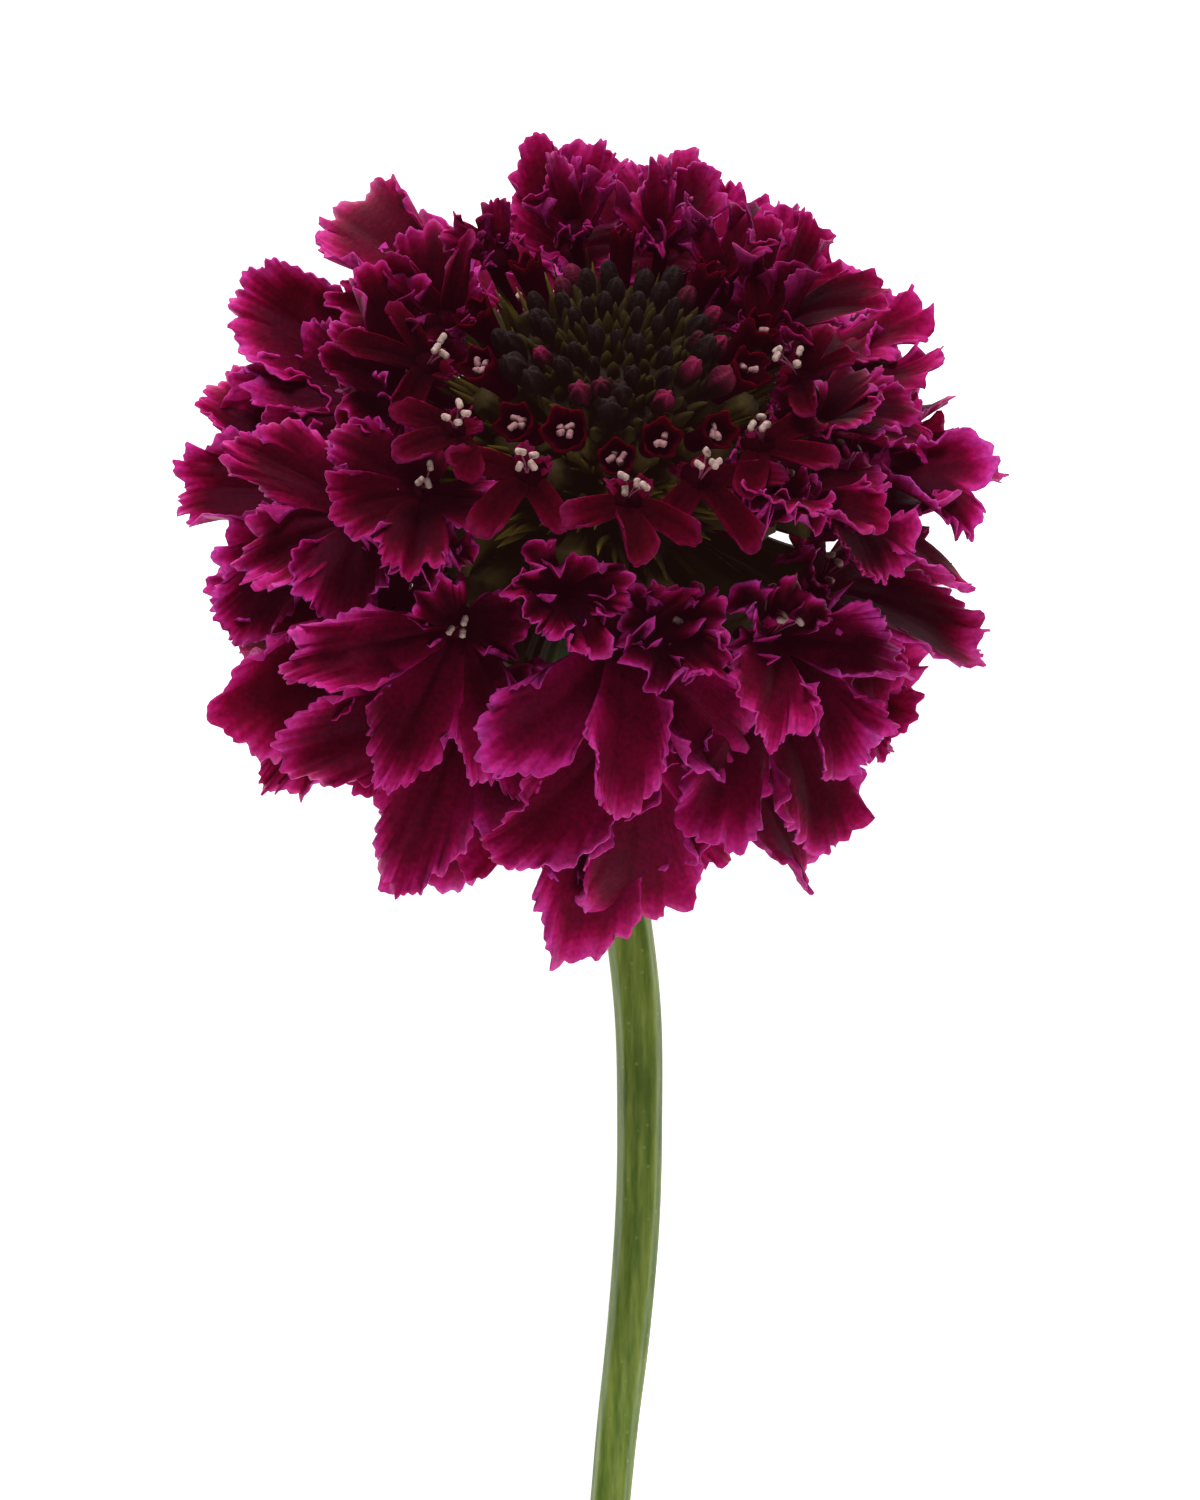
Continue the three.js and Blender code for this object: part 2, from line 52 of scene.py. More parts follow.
# Table: a matt white light table. Its own soft glow thins the shadows under the head
# and lights the petals from behind, as thin as they are.
def tone(code):
    """Linear colour of an sRGB hex value."""
    parts = [int(code[i:i + 2], 16) / 255 for i in (1, 3, 5)]
    linear = [c / 12.92 if c <= 0.04045 else ((c + 0.055) / 1.055) ** 2.4 for c in parts]
    return linear + [1]


def add(tree, kind, inputs=(), **settings):
    """New shader node with its settings; an input is a value or another node's socket."""
    node = tree.nodes.new("ShaderNode" + kind)
    for name, value in settings.items():
        setattr(node, name, value)
    for name, value in dict(inputs).items():
        if isinstance(value, bpy.types.NodeSocket):
            tree.links.new(value, node.inputs[name])
        else:
            node.inputs[name].default_value = value
    return node


def new_material(name):
    """Empty material and its node tree with a principled surface on the output."""
    material = bpy.data.materials.new(name)
    material.use_nodes = True
    tree = material.node_tree
    return material, tree, tree.nodes["Principled BSDF"]


bpy.ops.mesh.primitive_plane_add(size=4, location=(0, 0, 0))
table = bpy.context.object
table.name = "light_table"
opal, tree, surface = new_material("opal_acrylic")
surface.inputs["Base Color"].default_value = tone("#f4f4f4")
surface.inputs["Roughness"].default_value = 0.75
surface.inputs["Emission Color"].default_value = tone("#ffffff")
surface.inputs["Emission Strength"].default_value = 0.9
table.data.materials.append(opal)


# Lights: one broad soft box beyond the head, a weaker one on the near side to the
# right, and an even white room.
LIT_SPOT = Vector((0, 0.03, 0.01))


def soft_box(name, place, size, power):
    """Square area light that points at the head."""
    data = bpy.data.lights.new(name, "AREA")
    data.size = size
    data.energy = power
    lamp = bpy.data.objects.new(name, data)
    lamp.location = place
    aim = LIT_SPOT - Vector(place)
    lamp.rotation_euler = aim.to_track_quat("-Z", "Y").to_euler()
    bpy.context.scene.collection.objects.link(lamp)


soft_box("key", (-0.06, 0.58, 0.36), 0.25, 4.0)
soft_box("fill", (0.08, -0.42, 0.4), 0.25, 2.1)
room = bpy.data.worlds.new("room")
bpy.context.scene.world = room
room.use_nodes = True
room.node_tree.nodes["Background"].inputs["Color"].default_value = (1, 1, 1, 1)
room.node_tree.nodes["Background"].inputs["Strength"].default_value = 0.08
bpy.context.scene.view_settings.view_transform = "Standard"


# Stem: one round green flower stalk, solid and juicy, with faint ribs along it. It
# grows into the head, bends flat on the table and is cut straight at its lower end.
def draw(item, slot):
    """Seeded draw from 0 to 1, the same on every run."""
    wave = np.sin(item * 12.9898 + slot * 78.233 + 4.137) * 43758.5453
    return wave - np.floor(wave)


def spread(item, slot):
    """Seeded draw from -1 to 1."""
    return 2 * draw(item, slot) - 1


# Head: its centre in millimetres, how far its axis rises from the table and leans to
# the right, and the directions to its front, which looks up, and to its right.
HEAD_CENTRE = np.array([2.2, 46.6, 20.2])
HEAD_RISE = math.radians(50)
HEAD_LEAN = math.radians(2)
HEAD_AXIS = np.array([
    math.sin(HEAD_LEAN),
    math.cos(HEAD_RISE) * math.cos(HEAD_LEAN),
    math.sin(HEAD_RISE) * math.cos(HEAD_LEAN),
])
HEAD_FRONT = np.array([0, -math.sin(HEAD_RISE), math.cos(HEAD_RISE)])
HEAD_FRONT = HEAD_FRONT - HEAD_FRONT.dot(HEAD_AXIS) * HEAD_AXIS
HEAD_FRONT /= np.linalg.norm(HEAD_FRONT)
HEAD_RIGHT = np.cross(HEAD_AXIS, HEAD_FRONT)


def way(polar, azimuth):
    """Direction at an angle from the head's axis and an azimuth round it, in degrees."""
    p, a = math.radians(polar), math.radians(azimuth)
    return (math.cos(p) * HEAD_AXIS
            + math.sin(p) * (math.cos(a) * HEAD_FRONT + math.sin(a) * HEAD_RIGHT))


METRES = 0.001
CELL_MARGIN = 0.04


class Tissue:
    """Plant tissue grown as closed skins and thin sheets, gathered into one mesh.

    Every point carries marks for the materials, and every face corner a place in an
    atlas that has room for a number of square cells. Each skin takes one cell, and each
    sheet one for each side.
    """

    def __init__(self, marks, cells):
        self.mark_names = marks
        self.cells_across = math.ceil(math.sqrt(cells))
        self.cell = 0
        self.points, self.marks, self.faces, self.places = [], [], [], []
        self.count = 0

    def corner(self, across, along):
        """Atlas place of fractions of the present cell."""
        row, column = divmod(self.cell, self.cells_across)
        inner = np.stack([across, along], -1) * (1 - 2 * CELL_MARGIN) + CELL_MARGIN
        return (inner + [column, row]) / self.cells_across

    def grow(self, points, marks):
        """Adds a grid of points and returns their numbers in the mesh."""
        grid = points.shape[:2]
        numbers = np.arange(grid[0] * grid[1]).reshape(grid) + self.count
        self.points.append(points.reshape(-1, 3))
        columns = [np.broadcast_to(marks[name], grid).ravel() for name in self.mark_names]
        self.marks.append(np.stack(columns, -1))
        self.count += numbers.size
        return numbers

    def cover(self, a, b, c, d, pa, pb, pc, pd):
        """Quads from four grids of corner numbers and their atlas places."""
        self.faces.append(np.stack([a, b, c, d], -1).reshape(-1, 4))
        self.places.append(np.stack([pa, pb, pc, pd], -2).reshape(-1, 4, 2))

    def skin(self, rings, marks):
        """Closed body of rings, with a flat or pointed cap at each end."""
        steps, sides = rings.shape[:2]
        n = self.grow(rings, marks)
        m = np.roll(n, -1, axis=1)
        t, k = np.meshgrid(np.arange(steps) / (steps - 1), np.arange(sides) / sides,
                           indexing="ij")
        p, q = self.corner(k, t), self.corner(k + 1 / sides, t)
        self.cover(n[:-1], m[:-1], m[1:], n[1:], p[:-1], q[:-1], q[1:], p[1:])
        for row, order in ((0, -1), (steps - 1, 1)):
            middle = rings[row].mean(axis=0)[None, None]
            ends = {name: np.broadcast_to(marks[name], rings.shape[:2])[row, 0]
                    for name in self.mark_names}
            centre = np.full(sides, self.grow(middle, ends)[0, 0])
            ring, after = n[row][::order], np.roll(n[row][::order], -1)
            half = sides // 2
            spot = np.broadcast_to(self.corner(np.array(0.5), np.array(row / (steps - 1))),
                                   (half, 2))
            self.cover(centre[:half], ring[0::2][:half], after[0::2][:half],
                       after[1::2][:half], spot, spot, spot, spot)
        self.cell += 1

    def sheet(self, upper, lower, marks):
        """Thin closed sheet between an upper and a lower grid of points."""
        rows, columns = upper.shape[:2]
        top = self.grow(upper, marks)
        low = self.grow(lower, {**marks, "under": 1.0})
        t, k = np.meshgrid(np.linspace(0, 1, rows), np.linspace(0, 1, columns),
                           indexing="ij")
        p = self.corner(k, t)
        self.cover(top[:-1, :-1], top[:-1, 1:], top[1:, 1:], top[1:, :-1],
                   p[:-1, :-1], p[:-1, 1:], p[1:, 1:], p[1:, :-1])
        edge = [(top[-1], low[-1], p[-1]), (top[0, ::-1], low[0, ::-1], p[0, ::-1]),
                (top[:, 0], low[:, 0], p[:, 0]),
                (top[::-1, -1], low[::-1, -1], p[::-1, -1])]
        for up, down, at in edge:
            self.cover(up[:-1], up[1:], down[1:], down[:-1],
                       at[:-1], at[1:], at[1:], at[:-1])
        self.cell += 1
        q = self.corner(k, t)
        self.cover(low[:-1, :-1], low[1:, :-1], low[1:, 1:], low[:-1, 1:],
                   q[:-1, :-1], q[1:, :-1], q[1:, 1:], q[:-1, 1:])
        self.cell += 1

    def finish(self, name, material, node):
        """Makes the object, hangs it on the flower and hides the solid it stands for."""
        points = np.concatenate(self.points) * METRES
        faces = np.concatenate(self.faces)
        mesh = bpy.data.meshes.new(name)
        mesh.vertices.add(len(points))
        mesh.vertices.foreach_set("co", points.astype(np.float32).ravel())
        mesh.loops.add(faces.size)
        mesh.loops.foreach_set("vertex_index", faces.astype(np.int32).ravel())
        mesh.polygons.add(len(faces))
        starts = np.arange(0, faces.size, 4, dtype=np.int32)
        mesh.polygons.foreach_set("loop_start", starts)
        mesh.polygons.foreach_set("use_smooth", np.ones(len(faces), bool))
        atlas = mesh.uv_layers.new(name="OFBake")
        mesh.update(calc_edges=True)
        places = np.concatenate(self.places).astype(np.float32)
        atlas.data.foreach_set("uv", places.ravel())
        marks = np.concatenate(self.marks)
        for column, mark in enumerate(self.mark_names):
            layer = mesh.attributes.new(mark, "FLOAT", "POINT")
            layer.data.foreach_set("value", marks[:, column].astype(np.float32))
        mesh.validate()
        mesh.materials.append(material)
        piece = bpy.data.objects.new(name, mesh)
        bpy.context.scene.collection.objects.link(piece)
        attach(piece, "root")
        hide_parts(node)


def along_line(points, steps):
    """Smooth line through points, given again as a number of even steps."""
    points = np.asarray(points, float)
    ends = [2 * points[0] - points[1], 2 * points[-1] - points[-2]]
    padded = np.vstack([ends[0], points, ends[1]])
    out = []
    for t in np.linspace(0, len(points) - 1, steps):
        i = min(int(t), len(points) - 2)
        f = t - i
        a, b, c, d = padded[i:i + 4]
        out.append(0.5 * (2 * b + (c - a) * f + (2 * a - 5 * b + 4 * c - d) * f * f
                          + (3 * b - a - 3 * c + d) * f ** 3))
    return np.array(out)


def rings_round(line, radii, sides, wave=None):
    """Rings of points round a line, with an optional wave of the radius round it."""
    way_on = np.gradient(line, axis=0)
    way_on /= np.linalg.norm(way_on, axis=1, keepdims=True)
    guide, other_guide = np.array([0.13, 0.21, 0.97]), np.array([1.0, 0.1, 0.0])
    if abs(way_on[len(line) // 2].dot(guide)) > 0.9:
        guide = other_guide
    x = np.cross(way_on, guide)
    x /= np.linalg.norm(x, axis=1, keepdims=True)
    y = np.cross(way_on, x)
    turn = np.linspace(0, 2 * math.pi, sides, endpoint=False)
    radius = np.asarray(radii)[:, None] * np.ones(sides)
    if wave is not None:
        radius = radius * wave(np.linspace(0, 1, len(line))[:, None], turn[None, :])
    return (line[:, None, :]
            + radius[..., None] * (np.cos(turn)[None, :, None] * x[:, None, :]
                                   + np.sin(turn)[None, :, None] * y[:, None, :]))


# The stem's line, from its top under the head's centre to its cut end, each point with
# the radius there.
STEM_STEPS = 260
STEM_SIDES = 48
STEM_TOP_BELOW = 10.4
STEM_TOP_RADIUS = 2.3
STEM_POINTS = [(*(HEAD_CENTRE - STEM_TOP_BELOW * HEAD_AXIS), STEM_TOP_RADIUS)] + [
    (HEAD_CENTRE[0] + x, HEAD_CENTRE[1] + y, z, r) for x, y, z, r in (
        (-1.5, -12.7, 6.7, 2), (-0.6, -20, 3.2, 1.9), (0.9, -28.6, 1.86, 1.82),
        (2.1, -38, 1.78, 1.78), (2.29, -47, 1.7, 1.7), (2.1, -54.5, 1.67, 1.67),
        (1.45, -62.5, 1.62, 1.62), (0.65, -69.5, 1.55, 1.55), (-0.15, -78, 1.5, 1.5),
        (-1.9, -96, 1.48, 1.48), (-4, -118, 1.45, 1.45))
]
stem_line = along_line(STEM_POINTS, STEM_STEPS)
stem_radii = stem_line[:, 3].copy()
stem_line = stem_line[:, :3]
stem_line[:, 2] = np.maximum(stem_line[:, 2], stem_radii)


def stem_ribs(t, turn):
    """Nine faint ribs that wander a little, over four flatter sides."""
    ribs = 0.022 * np.cos(9 * turn + 0.6 * np.sin(5 * t))
    return 0.973 + ribs + 0.012 * np.cos(4 * turn + 9 * t)


stem = Tissue(["along"], 1)
rounded_ends = np.concatenate([[0.82, 0.95], np.ones(STEM_STEPS - 4), [0.96, 0.86]])
stem_rings = rings_round(stem_line, stem_radii * rounded_ends, STEM_SIDES, stem_ribs)
stem_rings[..., 2] = np.maximum(stem_rings[..., 2], 0.0)
stem.skin(stem_rings, {"along": np.linspace(0, 1, STEM_STEPS)[:, None]})


def noise(tree, place, scale, detail, roughness=0.5):
    """Cloudy value from 0 to 1."""
    node = add(tree, "TexNoise", {"Vector": place, "Scale": scale, "Detail": detail,
                                  "Roughness": roughness})
    return node.outputs["Fac"]


def mapped(tree, value, low, high, to_low=0.0, to_high=1.0):
    """Value carried from one range over to another."""
    node = add(tree, "MapRange", {"Value": value, "From Min": low, "From Max": high,
                                  "To Min": to_low, "To Max": to_high})
    return node.outputs["Result"]


def mixed(tree, factor, a, b, data_type="RGBA", blend_type="MIX"):
    """Mix of two colours, or of two values."""
    node = add(tree, "Mix", {"Factor": factor, "A": a, "B": b}, data_type=data_type,
               blend_type=blend_type)
    return node.outputs["Result"]


def colours(tree, value, stops):
    """Colour ramp from pairs of position and hex colour, the two ends first."""
    ramp = add(tree, "ValToRGB", {"Fac": value})
    for k, (position, code) in enumerate(stops):
        parts = ramp.color_ramp.elements
        stop = parts[k] if k < 2 else parts.new(position)
        stop.position = position
        stop.color = tone(code)
    return ramp.outputs["Color"]


def roughen(tree, surface, height, strength, distance):
    """Bump of the surface by a height, to a distance in metres."""
    bump = add(tree, "Bump", {"Height": height, "Strength": strength,
                              "Distance": distance})
    tree.links.new(bump.outputs["Normal"], surface.inputs["Normal"])


# Fresh green stalk skin: satin from its wax, streaked along its length with darker and
# paler green, with pale specks.
stalk, tree, surface = new_material("stalk_skin")
place = add(tree, "TexCoord").outputs["Object"]
stretched = add(tree, "Mapping", {"Vector": place, "Scale": (1, 0.12, 1)})
streaks = noise(tree, stretched.outputs["Vector"], 1500, 4, 0.6)
blotches = noise(tree, place, 90, 3)
specks = add(tree, "TexVoronoi", {"Vector": place, "Scale": 900})
greens = colours(tree, streaks, [(0.36, "#5a7422"), (0.66, "#8c9e44")])
mottle = mapped(tree, blotches, 0.3, 0.7, 0.86, 1.1)
shaded = mixed(tree, 1.0, greens, mottle, blend_type="MULTIPLY")
fleck = mapped(tree, specks.outputs["Distance"], 0.05, 0.16, 0.45, 0.0)
flecked = mixed(tree, fleck, shaded, tone("#a9b678"))
tree.links.new(flecked, surface.inputs["Base Color"])
roughen(tree, surface, streaks, 0.25, 0.0002)
surface.inputs["Roughness"].default_value = 0.42
surface.inputs["Subsurface Weight"].default_value = 0.15
surface.inputs["Subsurface Radius"].default_value = (0.3, 0.6, 0.15)
surface.inputs["Subsurface Scale"].default_value = 0.001
stem.finish("stem_stalk", stalk, "stem")


# Involucre: a shallow green dish under the florets with eleven narrow leafy bracts,
# grown out of the top of the stalk.
def turned(profile, sides):
    """Rings round the head's axis from pairs of radius and height."""
    turn = np.linspace(0, 2 * math.pi, sides, endpoint=False)
    hand = 1 if profile[0][1] < 0 else -1
    ring = np.cos(turn)[:, None] * HEAD_FRONT + hand * np.sin(turn)[:, None] * HEAD_RIGHT
    return np.array([HEAD_CENTRE + HEAD_AXIS * height + ring * radius
                     for radius, height in profile])


def bowl(inner, outer, pole, rim, steps):
    """Radius and height pairs of a bowl between two radii, from a pole to its rim."""
    out = [(radius * math.sin(math.radians(p)), radius * math.cos(math.radians(p)))
           for radius, angles in ((outer, (pole, rim)), (inner, (rim, pole)))
           for p in np.linspace(*angles, steps)]
    return [(max(0.02, r), h) for r, h in out]


def sheet_sides(points, thickness):
    """Upper and lower faces of a sheet of points, square to it."""
    normal = np.cross(np.gradient(points, axis=1), np.gradient(points, axis=0))
    normal /= np.maximum(np.linalg.norm(normal, axis=2, keepdims=True), 1e-9)
    half = np.asarray(thickness)[..., None] / 2
    return points + normal * half, points - normal * half


BRACT_COUNT = 11
BRACT_LENGTH = 10
BRACT_HALF_WIDTH = 1.3
BRACT_THICKNESS = 0.35
BRACT_ROOT = 9.3
involucre = Tissue(["along", "across"], 1 + 2 * BRACT_COUNT)
dish = bowl(inner=8.5, outer=9.9, pole=180, rim=130, steps=12)
involucre.skin(turned(dish, 48), {"along": 0.1, "across": 0.0})
u = np.linspace(-1, 1, 13)[None, :]
v = np.linspace(0, 1, 30)[:, None]
for k in range(BRACT_COUNT):
    azimuth = 360 * k / BRACT_COUNT + 8 * spread(k, 41)
    polar = 143 + (1 - math.cos(math.radians(azimuth))) / 2
    bract_way, bract_face = way(polar, azimuth), way(polar - 90, azimuth)
    bract_side = np.cross(bract_way, bract_face)
    length = BRACT_LENGTH * (1 + 0.15 * spread(k, 42))
    width = BRACT_HALF_WIDTH * np.sin(math.pi * (0.12 + 0.86 * v)) ** 0.8
    wave = 0.12 * np.sin(9 * v + 5 * draw(k, 43)) * u
    crease = 0.5 * np.abs(u) - 1.5 * v ** 2 + wave
    bract = (HEAD_CENTRE + bract_way * (BRACT_ROOT + length * v)[..., None]
             + bract_side * (u * width)[..., None] + bract_face * crease[..., None])
    bract[..., 2] = np.maximum(bract[..., 2], 0.3)
    thickness = BRACT_THICKNESS * (1 - 0.5 * v) * np.ones_like(u)
    involucre.sheet(*sheet_sides(bract, thickness), {"along": v, "across": u})

# Leaf tissue: dull green, lighter along the midrib, faintly hairy so it looks matt.
leaf, tree, surface = new_material("bract_leaf")
across = add(tree, "Attribute", attribute_name="across").outputs["Fac"]
rib = add(tree, "Math", {0: across}, operation="ABSOLUTE")
rib_tone = colours(tree, rib.outputs["Value"], [(0.0, "#7f9450"), (0.25, "#46602c")])
mottle = noise(tree, add(tree, "TexCoord").outputs["Object"], 700, 4)
shade = mapped(tree, mottle, 0.3, 0.7, 0.75, 1.15)
leafy = mixed(tree, 1.0, rib_tone, shade, blend_type="MULTIPLY")
tree.links.new(leafy, surface.inputs["Base Color"])
roughen(tree, surface, mottle, 0.3, 0.0002)
surface.inputs["Roughness"].default_value = 0.6
involucre.finish("involucre_leaves", leaf, "involucre")


# Outer florets: each is one corolla, a tube from the receptacle that opens into three
# big lobes outwards and two small crinkled ones inwards, thin and soft as tissue paper.
# Five hang low, eleven stand wide and ten above them.
def bell(off, width):
    """Soft bump: 1 at zero, fading over a width."""
    return math.exp(-(off / width) ** 2)


# Azimuths where the head bulges or is hollow, and by how much of a lobe's length.
BULGES = ((118, 0.14), (305, -0.12), (66, -0.1))


def head_shape(azimuth):
    """How full the head is: throat distance and lobe length against the whorl's own."""
    a = math.radians(azimuth)
    front, back = max(0, math.cos(a)), max(0, -math.cos(a))
    bulge = sum(much * bell(azimuth % 360 - at, 20) for at, much in BULGES)
    return (0.96 - 0.035 * math.sin(a) + 0.05 * front - 0.03 * back,
            0.83 - 0.06 * math.sin(a) + 0.15 * front - 0.06 * back + bulge)


# Azimuths of two narrow gaps between lobes, far on the left of the head, where the
# florets stand level. Nearer the head's axis the gaps lie farther round it.
PARTINGS = (206, 230)
LEVEL_POLAR = 84


def parted(azimuth):
    """Azimuth of a floret moved off the two partings, and how far its lobes fan out."""
    for parting in PARTINGS:
        off = (azimuth - parting) / 10
        azimuth = azimuth + 7 * off * bell(off, 1)
    narrowed = 0.5 * bell(azimuth - 217, 18)
    return azimuth, 1 - narrowed


def beside_partings(tip, polar, boost):
    """Length of a lobe against its own, less if its tip would lie in a parting, and
    more by the boost if it would lie between the two."""
    out = tip - HEAD_CENTRE
    azimuth = math.degrees(math.atan2(out.dot(HEAD_RIGHT), out.dot(HEAD_FRONT))) % 360
    azimuth -= 0.35 * (LEVEL_POLAR - polar)
    near = max(bell(azimuth - parting, 5.5) for parting in PARTINGS)
    return (1 - 0.85 * near) * (1 + boost * bell(azimuth - sum(PARTINGS) / 2, 8))


def settle(points, half):
    """Keeps a sheet on or above the table, with a soft bend where it lands."""
    soft = 1.6
    z = points[..., 2] - half
    landed = np.where(z < soft, (z + soft) ** 2 / (4 * soft), z)
    points[..., 2] = half + np.where(z <= -soft, 0, landed)
    return points


def nicks(place, count, depth, seed):
    """Depth in mm of an edge cut into rounded lobules of uneven size."""
    s = count * place + draw(seed, 20) + 0.3 * np.sin(5 * place + 6 * draw(seed, 21))
    swell = 1 - np.abs(2 * (s - np.floor(s)) - 1)
    swell = 0.4 * swell + 0.6 * np.sin(math.pi * (s - np.floor(s)))
    cut = 0.25 + 0.75 * draw(np.round(s) + 31 * seed, 22)
    more = draw(np.floor(s) + 31 * seed, 23)
    return depth * (cut * (1 - swell ** 0.8) - 0.35 * more * swell)


def lobe_outline(spec, u, v):
    """Flat lobe, a wedge with a cut rim: places across and along it, half its width
    at each row, and the distance in from its rim."""
    seed, length, place = spec["seed"], spec["length"], (u + 1) / 2
    bow = spec["bow"] * length
    turn = math.radians(spec["fan"]) * (u + 0.09 * np.sin(math.pi * u + spec["phase"]))
    scallop = np.abs(np.sin(math.pi * spec["scallops"] * place)) ** 0.7
    rim = 1 - spec["cut"] * (1 - scallop)
    teeth = (nicks(place, spec["crenels"], spec["crenel"], seed + 0.3)
             + nicks(place, spec["teeth"], spec["tooth"], seed + 0.6))
    beak = np.exp(-((u - 0.7 * spread(seed, 24)) / 0.09) ** 2)
    splits = (nicks(place, spec["splits"], spec["split"], seed)
              - spec["beak"] * max(0, draw(seed, 25) - 0.4) * beak)
    nick = splits * v ** 4 + teeth * v ** 10
    rim_x = spec["width"] / 2 * np.sin(turn) * rim
    rim_y = length - bow + bow * np.cos(turn) * rim
    x = spec["root"] * u * (1 - v) + rim_x * v ** spec["wedge"] - nick * np.sin(turn)
    y = rim_y * v - nick * np.cos(turn)
    half_width = np.abs(x).max(axis=1, keepdims=True)
    from_rim = (1 - v) * rim_y - (splits + teeth - nick)
    from_side = (1 - np.abs(u)) * half_width + 3.0 * (1 - v)
    return x, y, half_width, np.minimum(from_rim, from_side)


def lobe_height(spec, x, u, v):
    """Height of a lobe over its flat outline: cupped, pleated, creased along its
    middle, with a curled lip, folds gathered towards the rim and ruffles on it."""
    seed, phase = spec["seed"], spec["phase"]

    def random_phase(slot):
        return 6.28 * draw(seed, slot)

    fold = np.sin(math.pi * spec["folds"] * u + 6 * phase)
    height = spec["cup"] * (2 * x / spec["width"]) ** 2 * v
    height = height + spec["pleat"] * v ** 2 * fold
    height = height - spec["crease"] * np.exp(-(u / 0.16) ** 2) * v * (1.2 - v)
    height = height + spec["lip"] * v ** 9 * (0.4 + np.sin(4 * u + random_phase(35)))
    wander = random_phase(26) + 1.5 * np.sin(3 * u + phase)
    gather = np.sin(math.pi * spec["gathers"] * u + wander)
    height = height + spec["gather"] * v ** 4 * gather
    waves = 2 * math.pi * spec["ruffles"] * (u + 1) / 2
    ruffle = np.sin(waves + random_phase(27) + 1.2 * np.sin(9 * u + random_phase(28)))
    swell = 0.6 + 0.4 * np.sin(5 * u + random_phase(29))
    height = height + spec["ruffle"] * swell * v ** spec["edge"] * ruffle
    fine = np.sin(2.4 * waves + 2 * ruffle)
    return height + 0.25 * spec["ruffle"] * v ** (spec["edge"] + 2) * fine


def lobe(petals, spec):
    """One petal lobe, set on its throat, twisted and bent outwards."""
    u = np.linspace(-1, 1, spec["columns"] + 1)[None, :]
    v = (1 - (1 - np.linspace(0, 1, spec["rows"] + 1)) ** 1.4)[:, None]
    x, y, half_width, from_edge = lobe_outline(spec, u, v)
    height = lobe_height(spec, x, u, v)
    twist = math.radians(spec["twist"]) * v
    across = x * np.cos(twist) - height * np.sin(twist)
    lift = x * np.sin(twist) + height * np.cos(twist)
    bend = math.radians(spec["curl"]) / spec["length"]
    start = math.radians(spec["rise"])
    angle = bend * y - start
    forward = (np.sin(angle) + math.sin(start)) / bend + np.sin(angle) * lift
    up = (np.cos(angle) - math.cos(start)) / bend + np.cos(angle) * lift
    side = np.cross(spec["along"], spec["face"])
    points = (spec["origin"] + forward[..., None] * spec["along"]
              + up[..., None] * spec["face"] + across[..., None] * side)
    points = settle(points, 0.15)
    thickness = spec["thickness"] * (1 - 0.5 * v ** 2) * np.ones_like(u)
    petals.sheet(*sheet_sides(points, thickness), {
        "rim": from_edge * spec["deep"], "across": u * half_width,
        "along": v * spec["length"], "age": spec["age"],
        "tint": draw(spec["seed"], 30), "under": 0.0,
    })


def turned_by(vector, axis, angle):
    """Vector turned about an axis by an angle in degrees."""
    a = math.radians(angle)
    return (vector * math.cos(a) + np.cross(axis, vector) * math.sin(a)
            + axis * axis.dot(vector) * (1 - math.cos(a)))


# Lobes of an outer floret: angle from its outward side, length and width against the
# whorl's, and form.
RAY_LOBES = [
    (-120, 0.44, 0.66, "crisp"), (-50, 0.95, 0.84, "big"), (0, 1, 0.88, "big"),
    (50, 0.95, 0.84, "big"), (120, 0.44, 0.66, "crisp"),
]

# Whorls: where their florets stand (start, step, polar and how these stray), how far
# out and how large (radius, length, width), which way they face (facing, droop at the
# front, turn at the back, roll, sway), how their lobes rise and curl, and their age
# from bud red to full magenta. The first is the number of a whorl's first floret.
WHORLS = {
    "low": dict(first=0, count=5, start=-64, step=32, jitter=3, polar=114, scatter=2,
                radius=17.5, length=16.2, width=9, facing=110, droop=40, drop=9,
                roll=-17, turn=0, rise=24, curl=50, age=1.0),
    "wide": dict(first=100, count=11, start=5, step=360 / 11, jitter=4, polar=100,
                 scatter=2, zigzag=3, climb=9, radius=18, length=15.5, width=9,
                 facing=97, droop=44, drop=7, roll=-17, turn=-8, rise=28, curl=55,
                 age=1.0),
    "upper": dict(first=200, count=10, start=-34, step=36, jitter=4, polar=84,
                  scatter=2, zigzag=4, radius=17.5, length=12.6, width=8.2, facing=84,
                  droop=44, drop=3, roll=-17, turn=0, rise=28, curl=55, age=0.95),
    "middle": dict(first=300, count=8, start=50, step=37, jitter=4, polar=62, scatter=2,
                   radius=17.6, length=9.5, width=5.8, facing=68, droop=30, drop=0,
                   roll=-15, turn=15, rise=40, curl=46, age=0.6, shut=0.5),
    "star": dict(first=400, count=13, start=2, step=360 / 13, jitter=4, polar=46,
                 scatter=1.5, radius=18, length=5.8, width=2.8, facing=58, droop=48,
                 drop=0, roll=-8, turn=24, rise=24, curl=38, age=0.1, shut=1),
    "frill": dict(first=500, count=6, start=-76, step=30, jitter=4, polar=73, scatter=4,
                  zigzag=-6, radius=16.4, length=6.6, width=6, facing=84, droop=30,
                  drop=0, roll=-6, turn=0, rise=30, curl=60, age=0.75, sway=24),
}

